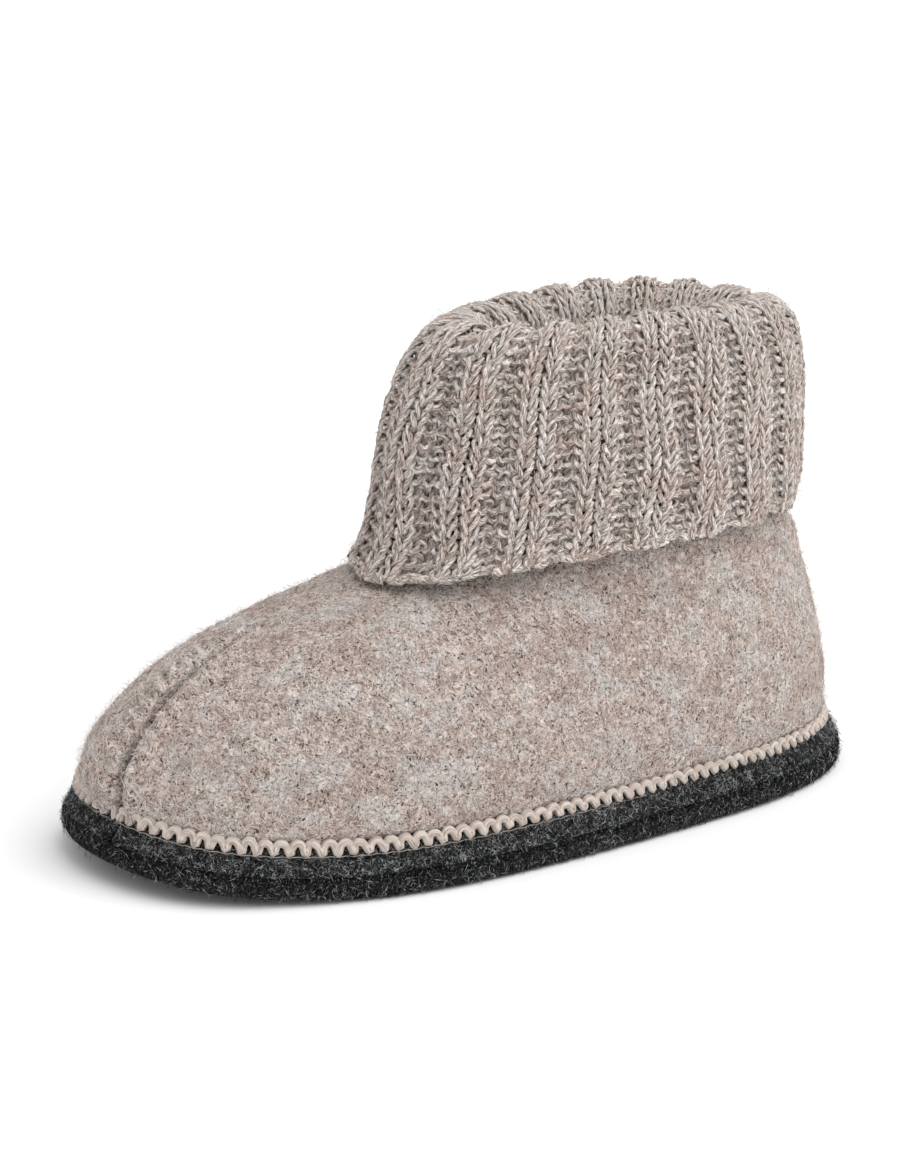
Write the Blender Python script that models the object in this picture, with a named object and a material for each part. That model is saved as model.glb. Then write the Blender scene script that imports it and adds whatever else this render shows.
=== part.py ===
"""Child's wool slipper boot for the left foot, standing empty on its sole.

Metres. The toe points along -Y, the outer side of the foot along +X and up is +Z.
Every piece is made of rings of points round the shoe. A ring starts at the toe,
runs along the outer side to the heel and comes back along the inner side.
"""
from collections import namedtuple

import bmesh
import bpy
import numpy as np

# Sole
SOLE_LENGTH = 0.1750
TOE_TIP_INWARD = 0.0078
TOE_SPRING = 0.0048
TOE_SPRING_START = 0.70
HEEL_LIFT = 0.0007
HEEL_LIFT_END = 0.09
OUTSOLE_THICKNESS = 0.0042
OUTSOLE_EDGE_ROUND = 0.0010

# Band, insole, walls and the play left between pieces
PLAY = 0.0003
BAND_BOTTOM = OUTSOLE_THICKNESS + PLAY
BAND_TOP = 0.0105
BAND_TOP_INSET = 0.0040
BAND_THICKNESS = 0.0034
INSOLE_THICKNESS = 0.0035
UPPER_WALL = 0.0030
CUFF_WALL = 0.0032

POINTS_ROUND = 64

# Half-widths of the sole at a share of its length from the heel
SoleRow = namedtuple("SoleRow", "share outer inner")
SOLE_ROWS = (
    SoleRow(0.030, 0.0148, 0.0150),
    SoleRow(0.080, 0.0222, 0.0221),
    SoleRow(0.160, 0.0280, 0.0265),
    SoleRow(0.300, 0.0328, 0.0275),
    SoleRow(0.450, 0.0362, 0.0302),
    SoleRow(0.620, 0.0380, 0.0361),
    SoleRow(0.740, 0.0358, 0.0384),
    SoleRow(0.840, 0.0307, 0.0381),
    SoleRow(0.920, 0.0232, 0.0337),
    SoleRow(0.975, 0.0105, 0.0245),
)

# Level sections of the upper's outside: oval is 0 for the sole's outline and 1 for
# the collar's oval, spring is the share of the sole's lift that the section takes
UpperRow = namedtuple("UpperRow", "height front back outer inner oval spring")
UPPER_ROWS = (
    UpperRow(0.0108, -0.0835, 0.0835, 0.0340, 0.0344, 0.00, 1.0),
    UpperRow(0.0145, -0.0841, 0.0838, 0.0346, 0.0349, 0.02, 0.9),
    UpperRow(0.0200, -0.0836, 0.0840, 0.0348, 0.0349, 0.08, 0.6),
    UpperRow(0.0260, -0.0812, 0.0833, 0.0341, 0.0340, 0.20, 0.3),
    UpperRow(0.0320, -0.0768, 0.0821, 0.0328, 0.0325, 0.34, 0.1),
    UpperRow(0.0375, -0.0706, 0.0808, 0.0311, 0.0308, 0.48, 0.0),
    UpperRow(0.0425, -0.0630, 0.0794, 0.0293, 0.0290, 0.62, 0.0),
    UpperRow(0.0470, -0.0524, 0.0782, 0.0275, 0.0272, 0.75, 0.0),
    UpperRow(0.0505, -0.0408, 0.0773, 0.0258, 0.0256, 0.86, 0.0),
    UpperRow(0.0533, -0.0295, 0.0765, 0.0244, 0.0243, 0.94, 0.0),
    UpperRow(0.0550, -0.0224, 0.0757, 0.0235, 0.0234, 0.99, 0.0),
    UpperRow(0.0578, -0.0186, 0.0742, 0.0224, 0.0223, 1.00, 0.0),
    UpperRow(0.0615, -0.0168, 0.0729, 0.0214, 0.0213, 1.00, 0.0),
    UpperRow(0.0660, -0.0156, 0.0722, 0.0207, 0.0206, 1.00, 0.0),
)

# Middle of the knitted sheet, from the outer lower edge over the fold to the collar:
# the drops are how far a section hangs lower at the front and the back
CuffRow = namedtuple("CuffRow", "height front back half_width front_drop back_drop")
CUFF_ROWS = (
    CuffRow(0.0614, -0.0244, 0.0764, 0.0254, 0.0058, 0.0014),
    CuffRow(0.0665, -0.0222, 0.0765, 0.0251, 0.0044, 0.0014),
    CuffRow(0.0725, -0.0207, 0.0767, 0.0246, 0.0028, 0.0014),
    CuffRow(0.0800, -0.0194, 0.0769, 0.0236, 0.0014, 0.0015),
    CuffRow(0.0882, -0.0176, 0.0769, 0.0221, 0.0006, 0.0018),
    CuffRow(0.0956, -0.0148, 0.0761, 0.0202, 0.0003, 0.0024),
    CuffRow(0.1012, -0.0112, 0.0743, 0.0180, 0.0002, 0.0032),
    CuffRow(0.1046, -0.0072, 0.0716, 0.0156, 0.0002, 0.0039),
    CuffRow(0.1056, -0.0029, 0.0682, 0.0130, 0.0002, 0.0042),
    CuffRow(0.1042, 0.0007, 0.0646, 0.0104, 0.0002, 0.0040),
    CuffRow(0.1004, 0.0030, 0.0618, 0.0086, 0.0001, 0.0032),
    CuffRow(0.0920, 0.0032, 0.0606, 0.0080, 0.0000, 0.0020),
    CuffRow(0.0815, -0.0030, 0.0642, 0.0120, 0.0000, 0.0008),
    CuffRow(0.0723, -0.0104, 0.0687, 0.0169, 0.0000, 0.0001),
    CuffRow(0.0664, -0.0141, 0.0707, 0.0192, 0.0000, 0.0000),
)


def closed_spline(points, count):
    """Sample a smooth closed curve through the points at even steps of its parameter."""
    points = np.asarray(points, float)
    total = len(points)
    chord = np.sqrt(np.linalg.norm(np.roll(points, -1, axis=0) - points, axis=1))
    matrix = np.zeros((total, total))
    right = np.zeros_like(points)
    for i in range(total):
        before = chord[i - 1]
        after = chord[i]
        nxt = (i + 1) % total
        matrix[i, i - 1] = after
        matrix[i, i] = 2.0 * (before + after)
        matrix[i, nxt] = before
        step_after = (points[nxt] - points[i]) / after
        step_before = (points[i] - points[i - 1]) / before
        right[i] = 3.0 * (before * step_after + after * step_before)
    slope = np.linalg.solve(matrix, right)
    start = np.concatenate([[0.0], np.cumsum(chord)])
    where = np.linspace(0.0, start[-1], count, endpoint=False)
    span = np.clip(np.searchsorted(start, where, side="right") - 1, 0, total - 1)
    size = chord[span]
    t = ((where - start[span]) / size)[:, None]
    size = size[:, None]
    after = (span + 1) % total
    curve = (2 * t**3 - 3 * t**2 + 1) * points[span]
    curve = curve + (t**3 - 2 * t**2 + t) * size * slope[span]
    curve = curve + (3 * t**2 - 2 * t**3) * points[after]
    return curve + (t**3 - t**2) * size * slope[after]


def along(curve, shares):
    """Points of an open line of points at the given shares of its length."""
    step = np.linalg.norm(np.diff(curve, axis=0), axis=1)
    length = np.concatenate([[0.0], np.cumsum(step)])
    wanted = np.asarray(shares) * length[-1]
    return np.column_stack([np.interp(wanted, length, curve[:, k]) for k in range(2)])


def sole_outline():
    """The sole's outline as one ring, closer together at the toe and heel."""
    half = SOLE_LENGTH / 2.0
    outer = [(row.outer, half - row.share * SOLE_LENGTH) for row in reversed(SOLE_ROWS)]
    inner = [(-row.inner, half - row.share * SOLE_LENGTH) for row in SOLE_ROWS]
    control = [(-TOE_TIP_INWARD, -half)] + outer + [(0.0, half)] + inner
    fine = closed_spline(control, 2400)
    fine[:, 1] *= half / np.abs(fine[:, 1]).max()
    heel = int(np.argmax(fine[:, 1]))
    share = np.linspace(0.0, 1.0, POINTS_ROUND // 2 + 1)
    share = share - 0.08 * np.sin(2.0 * np.pi * share)
    outer_side = along(fine[: heel + 1], share[:-1])
    inner_side = along(np.vstack([fine[heel:], fine[:1]]), share[:-1])
    return np.vstack([outer_side, inner_side])


def inset(ring, distance):
    """The ring moved inwards by a distance."""
    run = np.roll(ring, -1, axis=0) - np.roll(ring, 1, axis=0)
    run = run / np.linalg.norm(run, axis=1)[:, None]
    outward = np.column_stack([run[:, 1], -run[:, 0]])
    return ring - distance * outward


def lift(y):
    """Height that the toe spring and the heel's lift add at a place along the shoe."""
    share = 0.5 - np.asarray(y) / SOLE_LENGTH
    toe = np.clip((share - TOE_SPRING_START) / (1.0 - TOE_SPRING_START), 0.0, 1.0)
    heel = np.clip((HEEL_LIFT_END - share) / HEEL_LIFT_END, 0.0, 1.0)
    return TOE_SPRING * toe**2 + HEEL_LIFT * heel**2


def level(ring, height):
    """A flat ring at a height, lifted along with the sole."""
    return np.column_stack([ring, height + lift(ring[:, 1])])


def oval_ring():
    """Unit oval in the order of the rings: x to the outer side, y to the heel."""
    turn = np.linspace(0.0, 2.0 * np.pi, POINTS_ROUND, endpoint=False)
    return np.column_stack([np.sin(turn), -np.cos(turn)])


def upper_rings(outline):
    """Rings of the upper's outside from the band to the collar."""
    unit = outline.copy()
    unit[:, 0] /= np.where(unit[:, 0] > 0.0, unit[:, 0].max(), -unit[:, 0].min())
    unit[:, 1] /= SOLE_LENGTH / 2.0
    oval = oval_ring()
    rings = []
    for row in UPPER_ROWS:
        shape = (1.0 - row.oval) * unit + row.oval * oval
        x = shape[:, 0] * np.where(shape[:, 0] > 0.0, row.outer, row.inner)
        y = (row.front + row.back) / 2.0 + shape[:, 1] * (row.back - row.front) / 2.0
        z = row.height + row.spring * lift(y)
        rings.append(np.column_stack([x, y, z]))
    rings[0] = level(inset(outline, BAND_TOP_INSET), UPPER_ROWS[0].height)
    return np.array(rings)


def cuff_rings():
    """Rings of the middle of the folded knitted sheet."""
    oval = oval_ring()
    rings = []
    for row in CUFF_ROWS:
        x = oval[:, 0] * row.half_width
        y = (row.front + row.back) / 2.0 + oval[:, 1] * (row.back - row.front) / 2.0
        front = row.front_drop * np.clip(-oval[:, 1], 0.0, 1.0) ** 2
        back = row.back_drop * np.clip(oval[:, 1], 0.0, 1.0) ** 2
        z = row.height - front - back
        rings.append(np.column_stack([x, y, z]))
    return np.array(rings)


def sheet_normals(rings):
    """Unit normals of a sheet of rings, kept level along its two free edges."""
    round_way = np.roll(rings, -1, axis=1) - np.roll(rings, 1, axis=1)
    up_way = np.gradient(rings, axis=0)
    normal = np.cross(round_way, up_way)
    normal[0, :, 2] = 0.0
    normal[-1, :, 2] = 0.0
    return normal / np.linalg.norm(normal, axis=2)[:, :, None]


def finish(name, mesh_data, colour, roughness):
    """Put a closed mesh into the scene as one named piece with its material."""
    bmesh.ops.recalc_face_normals(mesh_data, faces=mesh_data.faces)
    mesh = bpy.data.meshes.new(name)
    mesh_data.to_mesh(mesh)
    mesh_data.free()
    material = bpy.data.materials.new(name)
    material.use_nodes = True
    shader = material.node_tree.nodes["Principled BSDF"]
    shader.inputs["Base Color"].default_value = (*colour, 1.0)
    shader.inputs["Roughness"].default_value = roughness
    mesh.materials.append(material)
    piece = bpy.data.objects.new(name, mesh)
    bpy.context.collection.objects.link(piece)
    return piece


def add_rings(mesh_data, rings):
    """Add rings of vertices to a mesh."""
    return [[mesh_data.verts.new(point) for point in ring] for ring in rings]


def bridge(mesh_data, lower, upper):
    """Join two rings of vertices by a row of quads."""
    count = len(lower)
    for k in range(count):
        nxt = (k + 1) % count
        mesh_data.faces.new((lower[k], lower[nxt], upper[nxt], upper[k]))


def hoop(name, rings, colour, roughness):
    """Closed hoop from rings that go once round its wall."""
    mesh_data = bmesh.new()
    loops = add_rings(mesh_data, rings)
    for k, loop in enumerate(loops):
        bridge(mesh_data, loop, loops[(k + 1) % len(loops)])
    return finish(name, mesh_data, colour, roughness)


def plate(name, rings, bottom, top, colour, roughness):
    """Closed plate from rings that go from its bottom middle round to its top middle."""
    mesh_data = bmesh.new()
    loops = add_rings(mesh_data, rings)
    for lower, upper in zip(loops, loops[1:]):
        bridge(mesh_data, lower, upper)
    for loop, middle in ((loops[0], bottom), (loops[-1], top)):
        centre = mesh_data.verts.new(middle)
        for k in range(len(loop)):
            mesh_data.faces.new((loop[k], loop[(k + 1) % len(loop)], centre))
    return finish(name, mesh_data, colour, roughness)


def plate_rings(outline, bottom, top, edge):
    """Rings of a plate with rounded edges between two heights."""
    rim = inset(outline, edge)
    corner = inset(outline, 0.3 * edge)
    rings = [level(share * rim, bottom) for share in (0.30, 0.60, 0.85)]
    rings.append(level(rim, bottom))
    rings.append(level(corner, bottom + 0.3 * edge))
    rings.append(level(outline, bottom + edge))
    rings.append(level(outline, top - edge))
    rings.append(level(corner, top - 0.3 * edge))
    rings.append(level(rim, top))
    rings.extend(level(share * rim, top) for share in (0.85, 0.60, 0.30))
    return rings


for old in list(bpy.data.objects):
    bpy.data.objects.remove(old, do_unlink=True)

CHARCOAL = (0.045, 0.045, 0.050)
WOOL = (0.46, 0.40, 0.35)
SOCK = (0.30, 0.28, 0.26)

outline = sole_outline()

# Outsole
plate(
    "outsole",
    plate_rings(outline, 0.0, OUTSOLE_THICKNESS, OUTSOLE_EDGE_ROUND),
    (0.0, 0.0, 0.0),
    (0.0, 0.0, OUTSOLE_THICKNESS),
    CHARCOAL,
    0.95,
)

# Side band: its section leans in from the sole's rim to the lower edge of the upper
band_inside = BAND_TOP_INSET + BAND_THICKNESS
hoop(
    "side_band",
    [
        level(inset(outline, 0.0006), BAND_BOTTOM),
        level(inset(outline, 0.0004), BAND_BOTTOM + 0.0008),
        level(inset(outline, 0.0020), BAND_BOTTOM + 0.0034),
        level(inset(outline, BAND_TOP_INSET - 0.0003), BAND_TOP - 0.0004),
        level(inset(outline, BAND_TOP_INSET + 0.0003), BAND_TOP),
        level(inset(outline, band_inside), BAND_TOP),
        level(inset(outline, band_inside), BAND_BOTTOM),
    ],
    CHARCOAL,
    0.95,
)

# Insole: lies inside the band
sock_outline = inset(outline, band_inside + PLAY)
sock_bottom = OUTSOLE_THICKNESS + PLAY
plate(
    "insole",
    plate_rings(sock_outline, sock_bottom, sock_bottom + INSOLE_THICKNESS, 0.0006),
    (0.0, 0.0, sock_bottom),
    (0.0, 0.0, sock_bottom + INSOLE_THICKNESS),
    SOCK,
    0.95,
)

# Upper: an outside and an inside one wall apart, open at the collar and underneath
outside = upper_rings(outline)
inside = outside - UPPER_WALL * sheet_normals(outside)
hoop("upper", [*outside, *inside[::-1]], WOOL, 0.95)

# Cuff: both faces of the folded sheet lie half its thickness off its middle
middle = cuff_rings()
half_wall = 0.5 * CUFF_WALL * sheet_normals(middle)
hoop("cuff", [*(middle + half_wall), *(middle - half_wall)[::-1]], WOOL, 0.95)
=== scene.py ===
# %% [markdown]
# # A wool slipper boot, dressed in Blender
# The CAD model already holds the slipper's true form: a flat felt outsole, a felt band round its edge,
# an insole, a hollow upper of boiled wool and a folded knitted cuff. This lesson keeps that form and
# puts the cloth on it: felt with a nap, a cuff of real yarn loops, and the stitching that holds it
# together. Lengths are in metres, the toe points to -Y, and the outer side of the foot is +X.

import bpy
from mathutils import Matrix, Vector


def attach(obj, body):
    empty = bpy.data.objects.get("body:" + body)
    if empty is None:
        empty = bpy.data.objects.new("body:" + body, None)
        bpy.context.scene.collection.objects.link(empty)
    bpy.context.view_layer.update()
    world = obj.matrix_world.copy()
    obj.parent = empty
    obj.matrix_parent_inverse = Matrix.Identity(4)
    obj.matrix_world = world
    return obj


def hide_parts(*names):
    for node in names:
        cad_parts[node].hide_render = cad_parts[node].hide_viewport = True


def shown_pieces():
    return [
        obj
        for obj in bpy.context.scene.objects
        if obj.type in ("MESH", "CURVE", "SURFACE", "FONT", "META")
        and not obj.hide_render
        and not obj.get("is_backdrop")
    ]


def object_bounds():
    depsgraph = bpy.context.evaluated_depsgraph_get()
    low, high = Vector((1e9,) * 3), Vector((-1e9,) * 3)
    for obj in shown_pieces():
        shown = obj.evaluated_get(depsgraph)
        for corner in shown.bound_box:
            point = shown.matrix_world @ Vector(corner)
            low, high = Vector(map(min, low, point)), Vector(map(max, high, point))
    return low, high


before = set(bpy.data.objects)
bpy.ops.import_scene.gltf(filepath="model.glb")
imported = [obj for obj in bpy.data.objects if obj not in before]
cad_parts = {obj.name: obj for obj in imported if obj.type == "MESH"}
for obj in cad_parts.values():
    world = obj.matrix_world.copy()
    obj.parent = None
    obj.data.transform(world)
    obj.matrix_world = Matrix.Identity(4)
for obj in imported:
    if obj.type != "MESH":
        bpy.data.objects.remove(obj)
print("CAD nodes:", sorted(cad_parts))

# %% Keep the CAD box
import math

import bpy
import numpy as np
from mathutils import Vector

MM = 0.001
CAD_BOX = [list(corner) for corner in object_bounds()]
bpy.ops.object.select_all(action="DESELECT")
print("CAD box in mm:", [[round(x / MM, 1) for x in corner] for corner in CAD_BOX])

# %% [markdown]
# ## The view
# The camera stands 61 degrees round from the toe, on the outer side, and looks down at 21.5 degrees.
# A camera can be framed by shifting its lens or by turning it. Turning is used here, because a shift
# would stay behind when the camera is moved to look at another side.

# %% Camera
VIEW_AZIMUTH = math.radians(61.0)
VIEW_ELEVATION = math.radians(21.5)
VIEW_DISTANCE = 1.0
LENS_MM = 144.8
AIM_RIGHT = -4.8 * MM
AIM_UP = 46.1 * MM

view_back = Vector(
    (
        math.sin(VIEW_AZIMUTH) * math.cos(VIEW_ELEVATION),
        -math.cos(VIEW_AZIMUTH) * math.cos(VIEW_ELEVATION),
        math.sin(VIEW_ELEVATION),
    )
)
view_right = Vector((math.cos(VIEW_AZIMUTH), math.sin(VIEW_AZIMUTH), 0.0))
view_up = view_back.cross(view_right)
camera_place = view_back * VIEW_DISTANCE
aim = view_right * AIM_RIGHT + view_up * AIM_UP
camera_turn = (aim - camera_place).to_track_quat("-Z", "Y").to_euler()
bpy.ops.object.camera_add(location=camera_place, rotation=camera_turn)
camera = bpy.context.object
camera.data.lens = LENS_MM
camera.data.sensor_width = 36.0
camera.data.clip_start = 0.05
bpy.context.scene.camera = camera
print("camera looks at", [round(x / MM, 1) for x in aim], "mm")

# %% [markdown]
# ## Floor and light
# The slipper stands on a plain white floor in soft daylight from all round, with a broad sun from the
# camera's upper right that makes the heel side a little brighter than the toe. A sun lights a floor
# evenly, where a lamp nearby would leave it grey at the far end. The Standard view transform keeps the
# wool's own colours.

# %% Floor, sky and sun
SKY_STRENGTH = 0.74
SUN_STRENGTH = 2.0
SUN_BREADTH = math.radians(70.0)
SUN_FROM = Vector((0.55, 0.35, 0.95))
FLOOR_RADIUS = 4.0
FLOOR_DROP = 0.25 * MM

scene = bpy.context.scene
scene.view_settings.view_transform = "Standard"
sky = bpy.data.worlds.new("soft_daylight")
sky.use_nodes = True
sky.node_tree.nodes["Background"].inputs["Color"].default_value = (1.0, 1.0, 1.0, 1.0)
sky.node_tree.nodes["Background"].inputs["Strength"].default_value = SKY_STRENGTH
scene.world = sky
sun_turn = (-SUN_FROM).to_track_quat("-Z", "Y").to_euler()
bpy.ops.object.light_add(type="SUN", location=SUN_FROM, rotation=sun_turn)
sun = bpy.context.object
sun.data.energy = SUN_STRENGTH
sun.data.angle = SUN_BREADTH
bpy.ops.mesh.primitive_circle_add(
    vertices=96, radius=FLOOR_RADIUS, fill_type="NGON", location=(0.0, 0.0, -FLOOR_DROP)
)
floor = bpy.context.object
floor.name = "floor"
bpy.ops.object.transform_apply(location=True, rotation=True, scale=True)
floor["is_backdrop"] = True
print("sky, sun and a floor of", FLOOR_RADIUS, "m radius")

# %% [markdown]
# ## Helpers for materials
# Every finish below is a small network of noise, ramps and bump. Short helpers keep these networks
# readable: they add a node with its inputs filled in, turn a value into colours, lay one colour over
# another, draw curled lines and raise a bump. Colours are written as the 0 to 255 numbers that a picture
# editor shows.

# %% Node helpers
def tone(red, green, blue):
    """A picture editor's colour as the linear colour that a shader wants."""
    linear = []
    for part in (red, green, blue):
        share = part / 255
        linear.append(share / 12.92 if share <= 0.04045 else ((share + 0.055) / 1.055) ** 2.4)
    return (*linear, 1.0)


def add_node(tree, kind, inputs=None, **settings):
    """A new node, with its settings, and its inputs linked or filled in."""
    node = tree.nodes.new(kind)
    for name, value in settings.items():
        setattr(node, name, value)
    for key, value in (inputs or {}).items():
        if isinstance(value, bpy.types.NodeSocket):
            tree.links.new(value, node.inputs[key])
        else:
            node.inputs[key].default_value = value
    return node


print("nodes can be added")

# %% Noise, ramps and sums
def noise(tree, place, scale, detail=2.0, distortion=0.0, roughness=0.5):
    """Noise between 0 and 1; scale counts its lumps per unit of place."""
    inputs = {"Vector": place, "Scale": scale, "Detail": detail}
    inputs.update({"Distortion": distortion, "Roughness": roughness})
    return add_node(tree, "ShaderNodeTexNoise", inputs).outputs[0]


def ramp(tree, value, stops):
    """Colours along a value: stops are (position, colour)."""
    node = add_node(tree, "ShaderNodeValToRGB", {0: value})
    marks = node.color_ramp.elements
    while len(marks) < len(stops):
        marks.new(0.5)
    for mark, (position, colour) in zip(marks, stops):
        mark.position = position
        mark.color = colour
    return node.outputs[0]


def level(tree, value, low, high):
    """The value stretched so that low becomes 0 and high becomes 1, and no further."""
    inputs = {"Value": value, "From Min": low, "From Max": high}
    return add_node(tree, "ShaderNodeMapRange", inputs).outputs[0]


def mix(tree, factor, first, second):
    """Two colours mixed by a factor."""
    inputs = {0: factor, 6: first, 7: second}
    return add_node(tree, "ShaderNodeMix", inputs, data_type="RGBA").outputs[2]


def maths(tree, operation, first, second=0.0):
    """One sum on one or two values."""
    return add_node(tree, "ShaderNodeMath", {0: first, 1: second}, operation=operation).outputs[0]


def times(tree, value, share):
    """A value made smaller or larger."""
    return maths(tree, "MULTIPLY", value, share)


def cover(tree, under, where, share, over):
    """One colour laid over another where a value is 1, as strongly as the share says."""
    return mix(tree, times(tree, where, share), under, over)


def object_place(tree):
    """Places on the piece in metres."""
    return add_node(tree, "ShaderNodeTexCoord").outputs["Object"]


def point_value(tree, name):
    """The value that a piece's points hold under a name."""
    return add_node(tree, "ShaderNodeAttribute", attribute_name=name).outputs["Fac"]


print("networks can be drawn")

# %% Curled lines, bump and the floor's material
def curls(tree, place, scale, breadth):
    """Thin curled lines, 1 on the line: the places where a smooth noise crosses its middle."""
    field = noise(tree, place, scale, 1.0, 1.2)
    away = maths(tree, "ABSOLUTE", maths(tree, "SUBTRACT", field, 0.5))
    return level(tree, away, breadth, 0.0)


def bump(tree, height, distance, strength=1.0, under=None):
    """A bump whose height is given in metres at value 1."""
    inputs = {"Height": height, "Distance": distance, "Strength": strength}
    if under is not None:
        inputs["Normal"] = under
    return add_node(tree, "ShaderNodeBump", inputs).outputs[0]


def new_material(name, roughness, sheen, sheen_tint, shine=0.18):
    """A cloth material: matt, with a soft sheen at its edges."""
    material = bpy.data.materials.new(name)
    material.use_nodes = True
    shader = material.node_tree.nodes["Principled BSDF"]
    shader.inputs["Roughness"].default_value = roughness
    shader.inputs["Specular IOR Level"].default_value = shine
    shader.inputs["Sheen Weight"].default_value = sheen
    shader.inputs["Sheen Roughness"].default_value = 0.55
    shader.inputs["Sheen Tint"].default_value = sheen_tint
    return material, material.node_tree, shader


def wear(tree, shader, colour, relief=None):
    """Ends a network: the shader gets its colour and its relief."""
    tree.links.new(colour, shader.inputs["Base Color"])
    if relief is not None:
        tree.links.new(relief, shader.inputs["Normal"])


floor_material, floor_tree, floor_shader = new_material("pale_floor", 0.9, 0.0, (1, 1, 1, 1))
floor_grain = noise(floor_tree, object_place(floor_tree), 6.0, 3.0)
floor_stops = [(0.3, tone(248, 248, 248)), (0.7, tone(251, 251, 251))]
wear(floor_tree, floor_shader, ramp(floor_tree, floor_grain, floor_stops))
floor.data.materials.append(floor_material)
print("floor material ready")

# %% [markdown]
# ## Helpers for pieces
# Felt pieces start as a copy of their CAD solid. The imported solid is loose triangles, so the copy is merged
# and its triangles are joined into the square faces that a Subdivision Surface wants. Yarn, stitches and
# fibres are many small things, so they are worked out as arrays and each kind becomes one joined mesh.

# %% Copies of CAD solids and modifiers
def pick(piece):
    """Makes one piece the only selected and active one."""
    bpy.ops.object.select_all(action="DESELECT")
    piece.select_set(True)
    bpy.context.view_layer.objects.active = piece


def copy_of_node(node, name):
    """A merged copy of a CAD solid, in square faces where its triangles pair up."""
    piece = bpy.data.objects.new(name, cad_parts[node].data.copy())
    scene.collection.objects.link(piece)
    piece.data.materials.clear()
    pick(piece)
    if piece.data.has_custom_normals:
        bpy.ops.mesh.customdata_custom_splitnormals_clear()
    bpy.ops.object.mode_set(mode="EDIT")
    bpy.ops.mesh.select_all(action="SELECT")
    bpy.ops.mesh.remove_doubles(threshold=0.01 * MM)
    bpy.ops.mesh.tris_convert_to_quads(face_threshold=math.radians(60), shape_threshold=math.radians(90))
    bpy.ops.object.mode_set(mode="OBJECT")
    return piece


def subdivide_smooth(piece, levels):
    """A Subdivision Surface, applied."""
    pick(piece)
    smooth = piece.modifiers.new("smooth", "SUBSURF")
    smooth.levels = levels
    smooth.render_levels = levels
    bpy.ops.object.modifier_apply(modifier=smooth.name)
    bpy.ops.object.shade_smooth()


def roughen(piece, lump, strength):
    """Soft lumps of the given size pushed in and out of the surface, applied."""
    pick(piece)
    lumps = bpy.data.textures.new(piece.name + "_lumps", "CLOUDS")
    lumps.noise_scale = lump
    push = piece.modifiers.new("lumps", "DISPLACE")
    push.texture = lumps
    push.texture_coords = "LOCAL"
    push.mid_level = 0.5
    push.strength = strength
    bpy.ops.object.modifier_apply(modifier=push.name)


print("CAD solids can be copied and smoothed")

# %% Points, values and dressing
def mesh_points(piece):
    """Places and normals of a piece's vertices as two arrays."""
    count = len(piece.data.vertices)
    places = np.empty(count * 3)
    normals = np.empty(count * 3)
    piece.data.vertices.foreach_get("co", places)
    piece.data.vertex_normals.foreach_get("vector", normals)
    return places.reshape(-1, 3), normals.reshape(-1, 3)


def put_points(piece, places):
    """Moves a piece's vertices to new places."""
    piece.data.vertices.foreach_set("co", places.astype(np.float32).ravel())
    piece.data.update()


def put_values(piece, name, values):
    """Gives every vertex of a piece a value that a material can read."""
    layer = piece.data.attributes.new(name, "FLOAT", "POINT")
    layer.data.foreach_set("value", values.astype(np.float32).ravel())


def select_faces(piece, chosen):
    """Opens a piece for editing, with the faces selected whose corners are all chosen."""
    pick(piece)
    bpy.ops.object.mode_set(mode="EDIT")
    bpy.ops.mesh.select_mode(type="FACE")
    bpy.ops.mesh.select_all(action="DESELECT")
    bpy.ops.object.mode_set(mode="OBJECT")
    for face in piece.data.polygons:
        face.select = all(chosen[v] for v in face.vertices)
    bpy.ops.object.mode_set(mode="EDIT")


def dress(piece, material, slot, *nodes):
    """Gives a piece its material, its body and the CAD nodes it stands for; slot is not used."""
    piece.data.materials.append(material)
    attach(piece, "root")
    if nodes:
        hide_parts(*nodes)
    piece.data.calc_loop_triangles()
    print(f"{piece.name}: {len(piece.data.loop_triangles):,} triangles")


print("pieces can be dressed")

# %% Joined meshes from arrays
def mesh_from_arrays(name, places, faces):
    """One object from an array of points and an array of faces that all have as many corners."""
    mesh = bpy.data.meshes.new(name)
    mesh.vertices.add(len(places))
    mesh.vertices.foreach_set("co", places.astype(np.float32).ravel())
    mesh.loops.add(faces.size)
    mesh.loops.foreach_set("vertex_index", faces.astype(np.int32).ravel())
    mesh.polygons.add(len(faces))
    mesh.polygons.foreach_set("loop_start", np.arange(0, faces.size, faces.shape[1], dtype=np.int32))
    mesh.update(calc_edges=True)
    mesh.polygons.foreach_set("use_smooth", np.ones(len(faces), dtype=bool))
    piece = bpy.data.objects.new(name, mesh)
    scene.collection.objects.link(piece)
    return piece


def add_map(piece, name, corners):
    """A UV map from one (u, v) for each face corner."""
    layer = piece.data.uv_layers.new(name=name)
    layer.uv.foreach_set("vector", corners.astype(np.float32).ravel())


def unit(vectors):
    """Vectors brought to length 1."""
    return vectors / np.maximum(np.linalg.norm(vectors, axis=-1, keepdims=True), 1e-12)


print("arrays can become meshes")

# %% Yarns as tubes
# Millimetres by which the map along a yarn starts later than on the yarn before
YARN_START = 37.3
# Every yarn has a cell in the flat map: how much of its length and height it takes, and the cells' shape
CELL_LENGTH = 0.94
CELL_HEIGHT = 0.88
CELL_SHAPE = 1.2
# Corner of the flat map that the yarns' ends share
CAP_CORNER = 0.999


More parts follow.
